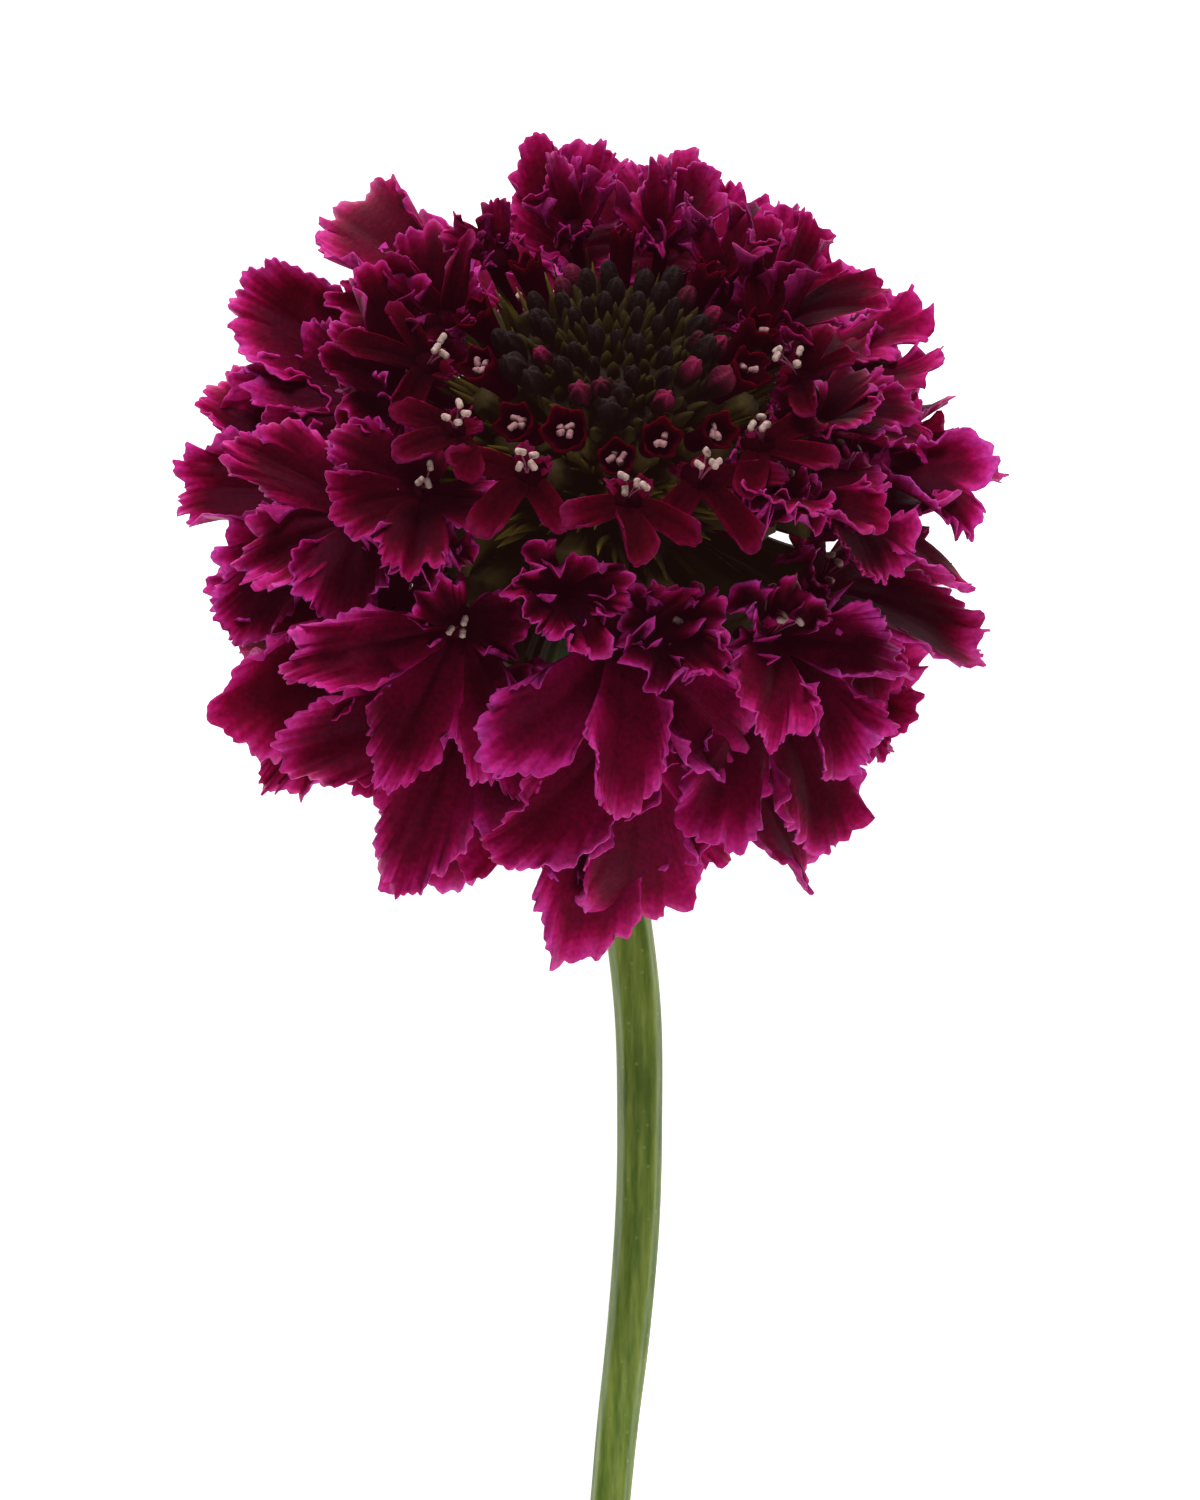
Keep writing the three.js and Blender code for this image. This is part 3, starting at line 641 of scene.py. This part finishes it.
# Forms of lobe: outline (scallops, fan, bow, root, wedge), the cuts of its rim from
# splits to teeth, gathers and ruffles, how near the rim the ruffles stay (edge), how
# soon the colour deepens inwards (deep), thickness in mm and the grid it is made of.
LOBE_FORMS = {
    "big": dict(scallops=3, cut=0.06, fan=120, bow=0.4, root=1.1, wedge=1.25,
                splits=2.6, split=1.3, crenels=8, crenel=0.6, teeth=21, tooth=0.5,
                beak=0.9, gather=0.15, gathers=2.2, ruffles=7.5, ruffle=0.65,
                edge=9, deep=1.25, crease=0.9, lip=1.1,
                thickness=0.2, columns=84, rows=12),
    "crisp": dict(scallops=1, cut=0.08, fan=110, bow=0.38, root=0.8, wedge=1.0,
                  splits=2, split=1.0, crenels=4, crenel=0.8, teeth=9, tooth=0.5,
                  beak=0.8, gather=1.1, gathers=2.6, ruffles=6, ruffle=0.8, lift=40,
                  edge=3, deep=3.8, crease=0.3, lip=0.5,
                  thickness=0.18, columns=48, rows=9),
    "middle": dict(scallops=1, cut=0.1, fan=84, bow=0.4, root=0.8, wedge=1.0,
                   splits=2.2, split=1.1, crenels=5, crenel=0.6, teeth=12, tooth=0.4,
                   beak=0.9, gather=0.2, gathers=2.6, ruffles=5, ruffle=0.4,
                   edge=8, deep=1.9, crease=0.5, lip=0.45,
                   thickness=0.2, columns=56, rows=10),
    "tuft": dict(scallops=1, cut=0.1, fan=96, bow=0.36, root=0.8, wedge=0.9,
                 splits=2.0, split=1.2, crenels=3, crenel=0.6, teeth=7, tooth=0.4,
                 beak=1.2, gather=0.7, gathers=2.2, ruffles=3.2, ruffle=0.6,
                 edge=5, deep=1.8, crease=0.35, lip=0.8,
                 thickness=0.22, columns=36, rows=8),
    "star": dict(scallops=1, cut=0.05, fan=80, bow=0.3, root=0.7, wedge=0.75,
                 splits=1.5, split=0.3, crenels=3, crenel=0.15, teeth=5, tooth=0.1,
                 beak=0, gather=0.1, gathers=2, ruffles=2, ruffle=0.12,
                 edge=6, deep=1.8, crease=0.35, lip=0.2,
                 thickness=0.25, columns=22, rows=8),
}


# Radius of the receptacle, how deep in it the tubes are rooted, how far below the
# throat they bend, and how finely they are made.
CORE_RADIUS = 8.0
ROOT_DEPTH = 1.5
KNEE_DEPTH = 2.6
TUBE_STEPS = 22
TUBE_SIDES = 14


def floret_tube(petals, throat, face, heading, marks):
    """Tube of a floret: from inside the receptacle, bent at the knee, to its throat."""
    polar, azimuth = heading
    root = HEAD_CENTRE + way(min(polar, 104), azimuth) * (CORE_RADIUS - ROOT_DEPTH)
    knee = throat - KNEE_DEPTH * face
    line = along_line([root, 0.45 * root + 0.55 * knee - 0.3 * face, knee + 0.5 * face,
                       throat - 0.5 * face, throat + 0.25 * face], TUBE_STEPS)
    t = np.linspace(0, 1, TUBE_STEPS)
    radii = 0.42 + 0.5 * t ** 2 + 0.55 * t ** 8
    petals.skin(rings_round(line, radii, TUBE_SIDES), {
        "rim": 11.0 - 2 * t[:, None], "across": 0.0, "along": 6 * t[:, None],
        "under": 0.0, **marks})


def floret(petals, kind, index, lobes, throats):
    """One floret of a whorl: its tube and its lobes. Its throat joins the list."""
    whorl = WHORLS[kind]
    item = whorl["first"] + index
    azimuth = whorl["start"] + whorl["step"] * index + whorl["jitter"] * spread(item, 1)
    azimuth, fan_out = parted(azimuth % 360)
    front = max(0, math.cos(math.radians(azimuth)))
    back = max(0, -math.cos(math.radians(azimuth)))
    polar = whorl["polar"] + whorl["scatter"] * spread(item, 2) + whorl["drop"] * front
    polar += whorl.get("zigzag", 0) * (-1) ** index - whorl.get("climb", 0) * back
    girth, reach = head_shape(azimuth)
    throat = HEAD_CENTRE + way(polar, azimuth) * (whorl["radius"] * girth + spread(item, 3))

    sway = whorl.get("sway", 6)
    facing = whorl["facing"] + whorl["droop"] * front ** 0.8
    facing += sway * spread(item, 4) + whorl["turn"] * back
    outward = way(facing, azimuth + 6 * spread(item, 5))
    face = way(facing - 90, azimuth)
    face = face - face.dot(outward) * outward
    roll = whorl["roll"] + (sway - 6) * spread(item, 36)
    face = turned_by(face / np.linalg.norm(face), outward, roll)
    aside = np.cross(outward, face)

    shut = whorl.get("shut", 0) * back
    age = whorl["age"] + 0.4 * shut
    floret_tube(petals, throat, face, (polar, azimuth),
                {"age": age, "tint": draw(item, 31)})
    throats.append((throat, face, outward, aside, item, kind))
    for k, (at, long, wide, form) in enumerate(lobes):
        seed = 10 * item + k
        angle = math.radians(at * fan_out + 4 * spread(seed, 6))
        along = math.cos(angle) * outward + math.sin(angle) * aside
        length = whorl["length"] * long * reach
        length *= 1 + 0.14 * spread(seed, 7) + 0.15 * shut
        boost = 0.55 if form == "big" else 0
        length *= beside_partings(throat + length * along, polar, boost)
        if form == "crisp":
            length *= 0.6 + 0.4 * front
        if form == "star":
            length *= 1 - 0.2 * back
        much = 1 if length > 7 else 0.3
        shape = LOBE_FORMS["tuft" if form == "star" and back > 0.3 else form]
        lobe(petals, dict(
            shape, seed=seed, length=length, age=age,
            # Lobes on the head's left and right sides darken sooner inwards than those at
            # its front and back: painted shade on the sides.
            deep=shape["deep"] * (1.95 - 0.95 * front - 1.1 * back),
            width=whorl["width"] * wide * (1 + 0.1 * spread(seed, 8)),
            origin=throat + 0.5 * along, along=along, face=face,
            rise=whorl["rise"] + 12 * spread(seed, 9) + shape.get("lift", 0) + 28 * shut,
            curl=whorl["curl"] + 20 * spread(seed, 10),
            cup=(0.7 + 1.5 * spread(seed, 11)) * much,
            twist=10 * spread(seed, 12),
            folds=1.6 + 0.8 * draw(seed, 13),
            pleat=(0.2 + 0.3 * spread(seed, 14)) * much,
            phase=2 * math.pi * draw(seed, 15)))


# Petal tissue: thin and velvety, nearly black crimson at the base and magenta at the rim,
# paling to lilac pink at the very edge, partly a painted highlight, with fine veins that
# fan out to the edge. Its sheen is lilac and strongest near the rim, its underside duller,
# and some lobes are more violet than others. A faint dark red glow is painted light
# that lifts its shadows.
def combined(tree, operation, a, b):
    """Sum, product or quotient of two values."""
    node = add(tree, "Math", {0: a, 1: b}, operation=operation)
    return node.outputs["Value"]


PETAL_MARKS = ["rim", "across", "along", "age", "tint", "under"]
petal, tree, surface = new_material("petal_velvet")
mark = {name: add(tree, "Attribute", attribute_name=name).outputs["Fac"]
        for name in PETAL_MARKS}
ray = combined(tree, "DIVIDE", mark["across"], combined(tree, "ADD", mark["along"], 3.0))
vein_place = add(tree, "CombineXYZ", {"X": ray, "Y": mark["tint"], "Z": mark["along"]})
stretch = add(tree, "Mapping", {"Vector": vein_place.outputs["Vector"],
                                "Scale": (95, 60, 0.22)})
veins = noise(tree, stretch.outputs["Vector"], 1.0, 3, 0.65)
place = add(tree, "TexCoord").outputs["Object"]
cloud = noise(tree, place, 160, 3)
grain = noise(tree, place, 2600, 2)
stripe = mapped(tree, veins, 0.25, 0.75, -0.35, 0.35)
drift = mapped(tree, cloud, 0.3, 0.7, -1.0, 1.0)
depth = combined(tree, "ADD", combined(tree, "ADD", mark["rim"], stripe), drift)
depth = mapped(tree, depth, -1.5, 10.5)
# The palest lilac pink stops, at the very rim, are partly the rim's magenta and partly a
# painted highlight.
outer_tone = colours(tree, depth, [
    (0.0, "#d050ac"), (1.0, "#220108"), (0.11, "#c83494"), (0.19, "#b0186a"),
    (0.27, "#8e0844"), (0.37, "#660426"), (0.55, "#3e0210")])
inner_tone = colours(tree, depth, [
    (0.0, "#66061c"), (1.0, "#120104"), (0.12, "#540312"), (0.28, "#42020b"),
    (0.5, "#2c0206")])
aged = mixed(tree, mark["age"], inner_tone, outer_tone)
violet = mapped(tree, mark["tint"], 0.55, 1.0, 0.0, 0.28)
hue = mixed(tree, violet, aged, (0.62, 0.9, 1.25, 1), blend_type="MULTIPLY")
dull = mixed(tree, 0.25, hue, tone("#5c1444"))
sided = mixed(tree, mark["under"], hue, dull)
light = mapped(tree, mixed(tree, 0.75, veins, grain, "FLOAT"), 0.35, 0.65, 0.72, 1.22)
veined = mixed(tree, 1.0, sided, light, blend_type="MULTIPLY")
tree.links.new(veined, surface.inputs["Base Color"])
roughen(tree, surface, mixed(tree, 0.45, veins, grain, "FLOAT"), 0.35, 0.0003)
surface.inputs["Roughness"].default_value = 0.5
sheen = mapped(tree, depth, 0.05, 0.28, 0.33, 0.05)
sheen = combined(tree, "MULTIPLY", sheen, mark["age"])
tree.links.new(sheen, surface.inputs["Specular IOR Level"])
surface.inputs["Specular Tint"].default_value = tone("#e080d0")
# Painted glow: a faint dark red emission that lifts the petals' shadows.
surface.inputs["Emission Color"].default_value = tone("#180409")
surface.inputs["Emission Strength"].default_value = 1.0
surface.inputs["Subsurface Weight"].default_value = 0.25
surface.inputs["Subsurface Radius"].default_value = (1.0, 0.15, 0.5)
surface.inputs["Subsurface Scale"].default_value = 0.0006

RAYS = ("low", "wide", "upper")
throats = []
for kind in RAYS:
    petals = Tissue(PETAL_MARKS, 180)
    for k in range(WHORLS[kind]["count"]):
        floret(petals, kind, k, RAY_LOBES, throats)
    petals.finish("florets_" + kind, petal, "florets")


# Middle florets: younger and narrower corollas, crimson rather than magenta and half
# open, and the crinkled frill at the front of the head. Their tubes grow from the
# receptacle between those of the outer florets.
MIDDLE_LOBES = [
    (-122, 0.6, 0.85, "middle"), (-50, 1, 1.05, "middle"), (0, 1.05, 1.05, "middle"),
    (50, 1, 1.05, "middle"), (122, 0.6, 0.85, "middle"),
]
FRILL_LOBES = [
    (-95, 0.8, 0.9, "crisp"), (-30, 0.9, 0.8, "crisp"), (35, 1, 1, "crisp"),
    (100, 0.7, 0.9, "crisp"), (180, 0.5, 0.8, "crisp"),
]
petals = Tissue(PETAL_MARKS, 170)
for kind, lobes in (("middle", MIDDLE_LOBES), ("frill", FRILL_LOBES)):
    for k in range(WHORLS[kind]["count"]):
        floret(petals, kind, k, lobes, throats)
petals.finish("florets_middle", petal, "florets")


# Star florets: small open corollas in a ring round the buds, each with five blunt
# dark red straps on a tube from the receptacle. Those at the back are crinkled tufts.
STAR_LOBES = [
    (-146, 0.3, 0.5, "star"), (-64, 1, 0.86, "star"), (0, 1.2, 0.96, "star"),
    (64, 1, 0.86, "star"), (146, 0.3, 0.5, "star"),
]
petals = Tissue(PETAL_MARKS, 140)
for k in range(WHORLS["star"]["count"]):
    floret(petals, "star", k, STAR_LOBES, throats)
petals.finish("florets_star", petal, "florets")


# Youngest florets: little funnels with a thin red lip of five soft points, only just
# open. They stand on the receptacle in a close ring round the buds, by turns nearer to
# them and farther, and crowd towards the front.
CUP_COUNT = 12
CUP_POLAR = 35.5
CUP_SIDES = 30
FIRST_CUP = 600
CUP_ROOT = 6.5
petals = Tissue(PETAL_MARKS, 4 * CUP_COUNT)
t = np.linspace(0, 1, 18)
turn = np.linspace(0, 2 * math.pi, CUP_SIDES, endpoint=False)[None, :]
for k in range(CUP_COUNT):
    azimuth = 360 * k / CUP_COUNT + 4 * spread(k, 51)
    azimuth -= 18 * math.sin(math.radians(azimuth))
    back = max(0, -math.cos(math.radians(azimuth)))
    up = way(CUP_POLAR + 1.5 * (-1) ** k + spread(k, 52), azimuth)
    mouth = 17.4 + 0.3 * spread(k, 54)
    open_to = 1.45 + 0.2 * spread(k, 55) - 0.5 * back

    def lip(s, turn):
        """Five soft points round the mouth."""
        return 1 + s * (0.1 * np.cos(5 * turn + k) + 0.03 * np.cos(11 * turn + 2 * k))

    outside = HEAD_CENTRE + up * (CUP_ROOT + (mouth - CUP_ROOT) * t)[:, None]
    radii = 0.5 + 0.35 * t + (open_to - 0.85) * np.maximum(0, (t - 0.7) / 0.3) ** 1.3
    outer = rings_round(outside, radii, CUP_SIDES, lambda s, turn: lip(s ** 6, turn))
    inside = HEAD_CENTRE + up * (mouth - 2.4 * (1 - t))[:, None]
    radii = 0.05 + (open_to - 0.25) * t ** 0.35
    inner = rings_round(inside, radii, CUP_SIDES, lambda s, turn: lip(s ** 2, turn))
    points_up = np.concatenate([t ** 8, (1 - t) ** 3])[:, None]
    rings = np.concatenate([outer, inner[::-1]])
    rings = rings + (0.3 * points_up * np.cos(5 * turn + k))[..., None] * up
    depth_in = np.concatenate([3.6 + 6 * (1 - t) ** 0.3, 3.6 + 2.4 * np.minimum(1, 7 * t)])
    petals.skin(rings, {"rim": depth_in[:, None], "across": 0.0, "along": 3.0,
                        "age": 0.0, "tint": draw(k, 53), "under": 0.0})
    throats.append((HEAD_CENTRE + up * (mouth - 1.5), up, HEAD_FRONT, HEAD_RIGHT,
                    FIRST_CUP + k, "funnel"))
petals.finish("florets_funnel", petal, "florets")


# Receptacle and chaff: the heart that carries the florets, on top of the dish, nearly
# black with painted shade deep in the head.
# Papery crowns and stiff olive bristles grow out of it between the floret tubes.
heart = Tissue(["along", "tint"], 900)
dome = [(max(0.02, CORE_RADIUS * math.sin(p)), CORE_RADIUS * math.cos(p))
        for p in np.linspace(0, math.pi, 24)]
heart.skin(turned(dome, 40), {"along": 0.0, "tint": 0.5})

# Round each tube a ribbed papery crown, flared where it has room, with four bristles.
for throat, face, outward, aside, item, kind in throats:
    tube_way = throat - HEAD_CENTRE
    far = np.linalg.norm(tube_way)
    tube_way = tube_way / far
    reach_out = min(far - 2.0, 14.0)
    t = np.linspace(0, 1, 14)
    tall, flare = (8.2, 1.5) if kind in RAYS or kind == "frill" else (6.2, 0.25)
    body = HEAD_CENTRE + tube_way * (7.0 + tall * t)[:, None]
    fat = 0.7 + 0.6 * np.sin(math.pi * t ** 0.8) + flare * t ** 3
    crown = rings_round(body, fat, 24, lambda s, turn: 1 + 0.1 * np.cos(8 * turn))
    heart.skin(crown, {"along": 0.1 + 0.4 * t[:, None], "tint": draw(item, 59)})
    for k in range(4):
        azimuth = 2 * math.pi * (k + 0.5 * draw(item, 60 + k)) / 4
        lean = np.cos(azimuth) * outward + np.sin(azimuth) * aside
        lean = lean - lean.dot(tube_way) * tube_way
        foot = HEAD_CENTRE + 7.2 * tube_way + 1.0 * lean
        tip = HEAD_CENTRE + (reach_out - 2 * draw(item, 70 + k)) * tube_way + 1.5 * lean
        line = along_line([foot, (foot + tip) / 2 + 0.25 * lean, tip], 7)
        radii = np.array([0.26, 0.3, 0.28, 0.24, 0.18, 0.1, 0.03])
        heart.skin(rings_round(line, radii, 6), {
            "along": np.linspace(0, 1, 7)[:, None], "tint": draw(item, 80 + k)})

# Blunt short scales between the buds, in a spiral over the dome.
GOLDEN_ANGLE = 137.508
DOME_SCALES = 150
for k in range(DOME_SCALES):
    polar = 30 * math.sqrt((k + 0.5) / DOME_SCALES) + 2 * spread(k, 130)
    up = way(polar, GOLDEN_ANGLE * k + 40)
    lean = np.cross(up, HEAD_RIGHT) * spread(k, 131) + HEAD_RIGHT * spread(k, 132)
    line = along_line([HEAD_CENTRE + 12.6 * up, HEAD_CENTRE + 13.8 * up + 0.1 * lean,
                       HEAD_CENTRE + (14.5 + 0.9 * draw(k, 133)) * up + 0.3 * lean], 6)
    heart.skin(rings_round(line, [0.5, 0.54, 0.5, 0.4, 0.26, 0.05], 6), {
        "along": np.linspace(0.2, 0.45, 6)[:, None], "tint": 0.8 * draw(k, 134)})

# Longer pointed bristles all round, between the dome and the outer florets.
BRISTLES_ROUND = 240
for k in range(BRISTLES_ROUND):
    up = way(47 + 32 * draw(k, 140), 360 / BRISTLES_ROUND * k)
    lean = HEAD_AXIS * (0.6 + 0.5 * spread(k, 142)) + HEAD_RIGHT * 0.7 * spread(k, 143)
    foot = HEAD_CENTRE + (9.5 + 1.5 * draw(k, 144)) * up
    tip = foot + (3.6 + 1.4 * draw(k, 145)) * up + 1.1 * lean
    line = along_line([foot, 0.5 * (foot + tip) + 0.3 * lean, tip], 7)
    heart.skin(rings_round(line, [0.3, 0.34, 0.34, 0.28, 0.2, 0.11, 0.03], 6), {
        "along": np.linspace(0.35, 1.0, 7)[:, None], "tint": 0.6 * draw(k, 146)})

# Dry chaff: olive brown, yellow green at the tip, matt and fibrous. Its foot darkens to
# nearly black, painted shade deep among the florets.
chaff, tree, surface = new_material("dry_chaff")
along, tint = (add(tree, "Attribute", attribute_name=name).outputs["Fac"]
               for name in ("along", "tint"))
# The near black foot of both ramps is painted shade.
green = colours(tree, along, [(0.0, "#141006"), (1.0, "#5e5210"), (0.5, "#3e330a")])
brown = colours(tree, along, [(0.0, "#140e06"), (1.0, "#48360c"), (0.5, "#2c2006")])
tree.links.new(mixed(tree, tint, green, brown), surface.inputs["Base Color"])
surface.inputs["Roughness"].default_value = 0.75
surface.inputs["Specular IOR Level"].default_value = 0.15
# Painted glow: a faint dark red emission that lifts the chaff's shadows.
surface.inputs["Emission Color"].default_value = tone("#140907")
surface.inputs["Emission Strength"].default_value = 1.0
heart.finish("receptacle_chaff", chaff, "florets")


# Stamens: in the open throats up to four pale pinkish anthers on short threads that
# grow out of the tube. Many have dropped, most of all at the back and in the frill.
stamens = Tissue(["along"], 480)
THREAD_RADIUS = 0.07
ANTHER_RADIUS = 0.29
THROAT_RADIUS = 18


def dropped(throat, kind):
    """Share of the stamens that a floret has lost."""
    if kind == "frill":
        return 0.8
    if kind in RAYS:
        return 0.3
    to_front = float(np.dot(throat - HEAD_CENTRE, HEAD_FRONT)) / THROAT_RADIUS
    return 0.1 + 3 * max(0, 0.1 - to_front)


for throat, face, outward, aside, item, kind in throats:
    young = kind == "funnel"
    for k in range(4):
        if draw(item, 90 + k) < dropped(throat, kind):
            continue
        azimuth = 2 * math.pi * (k + 0.7 * draw(item, 94 + k)) / 4
        lean = np.cos(azimuth) * outward + np.sin(azimuth) * aside
        high = 0.9 if young else 1.2 + 1.6 * draw(item, 98 + k)
        out = 0.45 if young else 0.45 + 0.4 * draw(item, 102 + k)
        top = throat + face * high + lean * out
        thread = along_line([throat - 0.6 * face, throat + face * high * 0.5 + lean * 0.2,
                             top], 8)
        stamens.skin(rings_round(thread, np.full(8, THREAD_RADIUS), 6), {"along": 0.0})
        across_way = lean * (0.4 + draw(item, 106 + k)) + face * spread(item, 110 + k)
        across_way = across_way + np.cross(lean, face) * spread(item, 114 + k)
        across_way /= np.linalg.norm(across_way)
        half = (0.26 if young else 0.3) + 0.12 * draw(item, 118 + k)
        t = np.linspace(-1, 1, 9)
        pod = top + across_way * (half * t)[:, None] + face * (0.12 * (1 - t ** 2))[:, None]
        fat = np.sqrt(np.maximum(0.02, 1 - t ** 4)) * (1 - 0.12 * np.cos(3 * t))
        anther = rings_round(pod, ANTHER_RADIUS * fat, 10,
                             lambda s, turn: 1 - 0.14 * np.cos(2 * turn))
        stamens.skin(anther, {"along": 0.45 if young else 1.0})

# Anther and thread: mealy cream pink, dull as flour.
pollen, tree, surface = new_material("anther_meal")
along = add(tree, "Attribute", attribute_name="along").outputs["Fac"]
meal = noise(tree, add(tree, "TexCoord").outputs["Object"], 3500, 2)
cream = colours(tree, meal, [(0.3, "#98746e"), (0.7, "#cdb2a8")])
pods = mixed(tree, along, tone("#8a3a58"), cream)
tree.links.new(pods, surface.inputs["Base Color"])
surface.inputs["Roughness"].default_value = 0.8
stamens.finish("stamens", pollen, "florets")


# Buds: unopened florets in a spiral on the dome, slate black and downy with reddish
# tips. They are small in the middle and longer at the edge where the next will open.
# The last ones of the spiral fill the dome's rim, but for its front.
DOME_BUDS = 36
BUDS = 50
BUD_ROOT = 12.4
buds = Tissue(["along", "out", "tint"], BUDS + 1)
# The cap takes the bud skin's dark foot colour: painted shade between the buds.
cap = bowl(inner=8.5, outer=13.4, pole=0, rim=29, steps=12)
buds.skin(turned(cap, 48), {"along": -1.0, "out": 0.0, "tint": 0.5})
t = np.linspace(0, 1, 22)
for k in range(BUDS):
    out = math.sqrt((k + 0.5) / DOME_BUDS)
    to_front = math.cos(math.radians(GOLDEN_ANGLE * k))
    if k >= DOME_BUDS and to_front > 0.5:
        continue
    up = way(27 * out + 2 * spread(k, 33), GOLDEN_ANGLE * k + 6 * spread(k, 37))
    ahead = out ** 4 * max(0, to_front)
    radius = 0.56 + 0.16 * out * out + 0.34 * ahead + 0.12 * spread(k, 32)
    tip = 15.8 + 0.3 * out * out + 1.1 * ahead + 0.4 * spread(k, 31)
    line = HEAD_CENTRE + up * (BUD_ROOT + (tip - BUD_ROOT) * t)[:, None]
    swell = np.sin(math.pi * t ** 1.5 * 0.94 + 0.12) ** 0.6
    radii = radius * (0.42 + 0.6 * t ** 0.6) * np.clip(swell, 0.05, 1)

    def folds(s, turn):
        """Five folds that deepen towards the tip."""
        return 1 + (0.08 * s + 0.2 * s ** 3) * np.cos(5 * turn + k)

    buds.skin(rings_round(line, radii, 24, folds), {
        "along": t[:, None], "out": out * (0.92 + 0.4 * to_front), "tint": draw(k, 34)})

# Bud skin: slate black under a pale down, crimson to magenta at the folded tip.
bud_skin, tree, surface = new_material("bud_down")
along, out, tint = (add(tree, "Attribute", attribute_name=name).outputs["Fac"]
                    for name in ("along", "out", "tint"))
down = noise(tree, add(tree, "TexCoord").outputs["Object"], 2400, 3, 0.7)
slate = colours(tree, along, [(0.0, "#181203"), (1.0, "#170c0c"), (0.35, "#2a2208"),
                              (0.6, "#0e0a09")])
ripe = colours(tree, along, [(0.0, "#181204"), (1.0, "#7c0a3c"), (0.45, "#180a0a"),
                             (0.7, "#520624")])
ripeness = mapped(tree, combined(tree, "MULTIPLY", out, tint), 0.35, 0.7)
budded = mixed(tree, ripeness, slate, ripe)
downy = mapped(tree, down, 0.56, 0.72, 0.0, 0.36)
haze = mixed(tree, downy, budded, tone("#3c3232"))
tree.links.new(haze, surface.inputs["Base Color"])
roughen(tree, surface, down, 0.9, 0.0002)
surface.inputs["Roughness"].default_value = 0.6
surface.inputs["Specular IOR Level"].default_value = 0.1
# Painted glow: a faint dark red emission that lifts the buds' shadows.
surface.inputs["Emission Color"].default_value = tone("#16090a")
surface.inputs["Emission Strength"].default_value = 1.0
buds.finish("bud_dome", bud_skin, "buds")
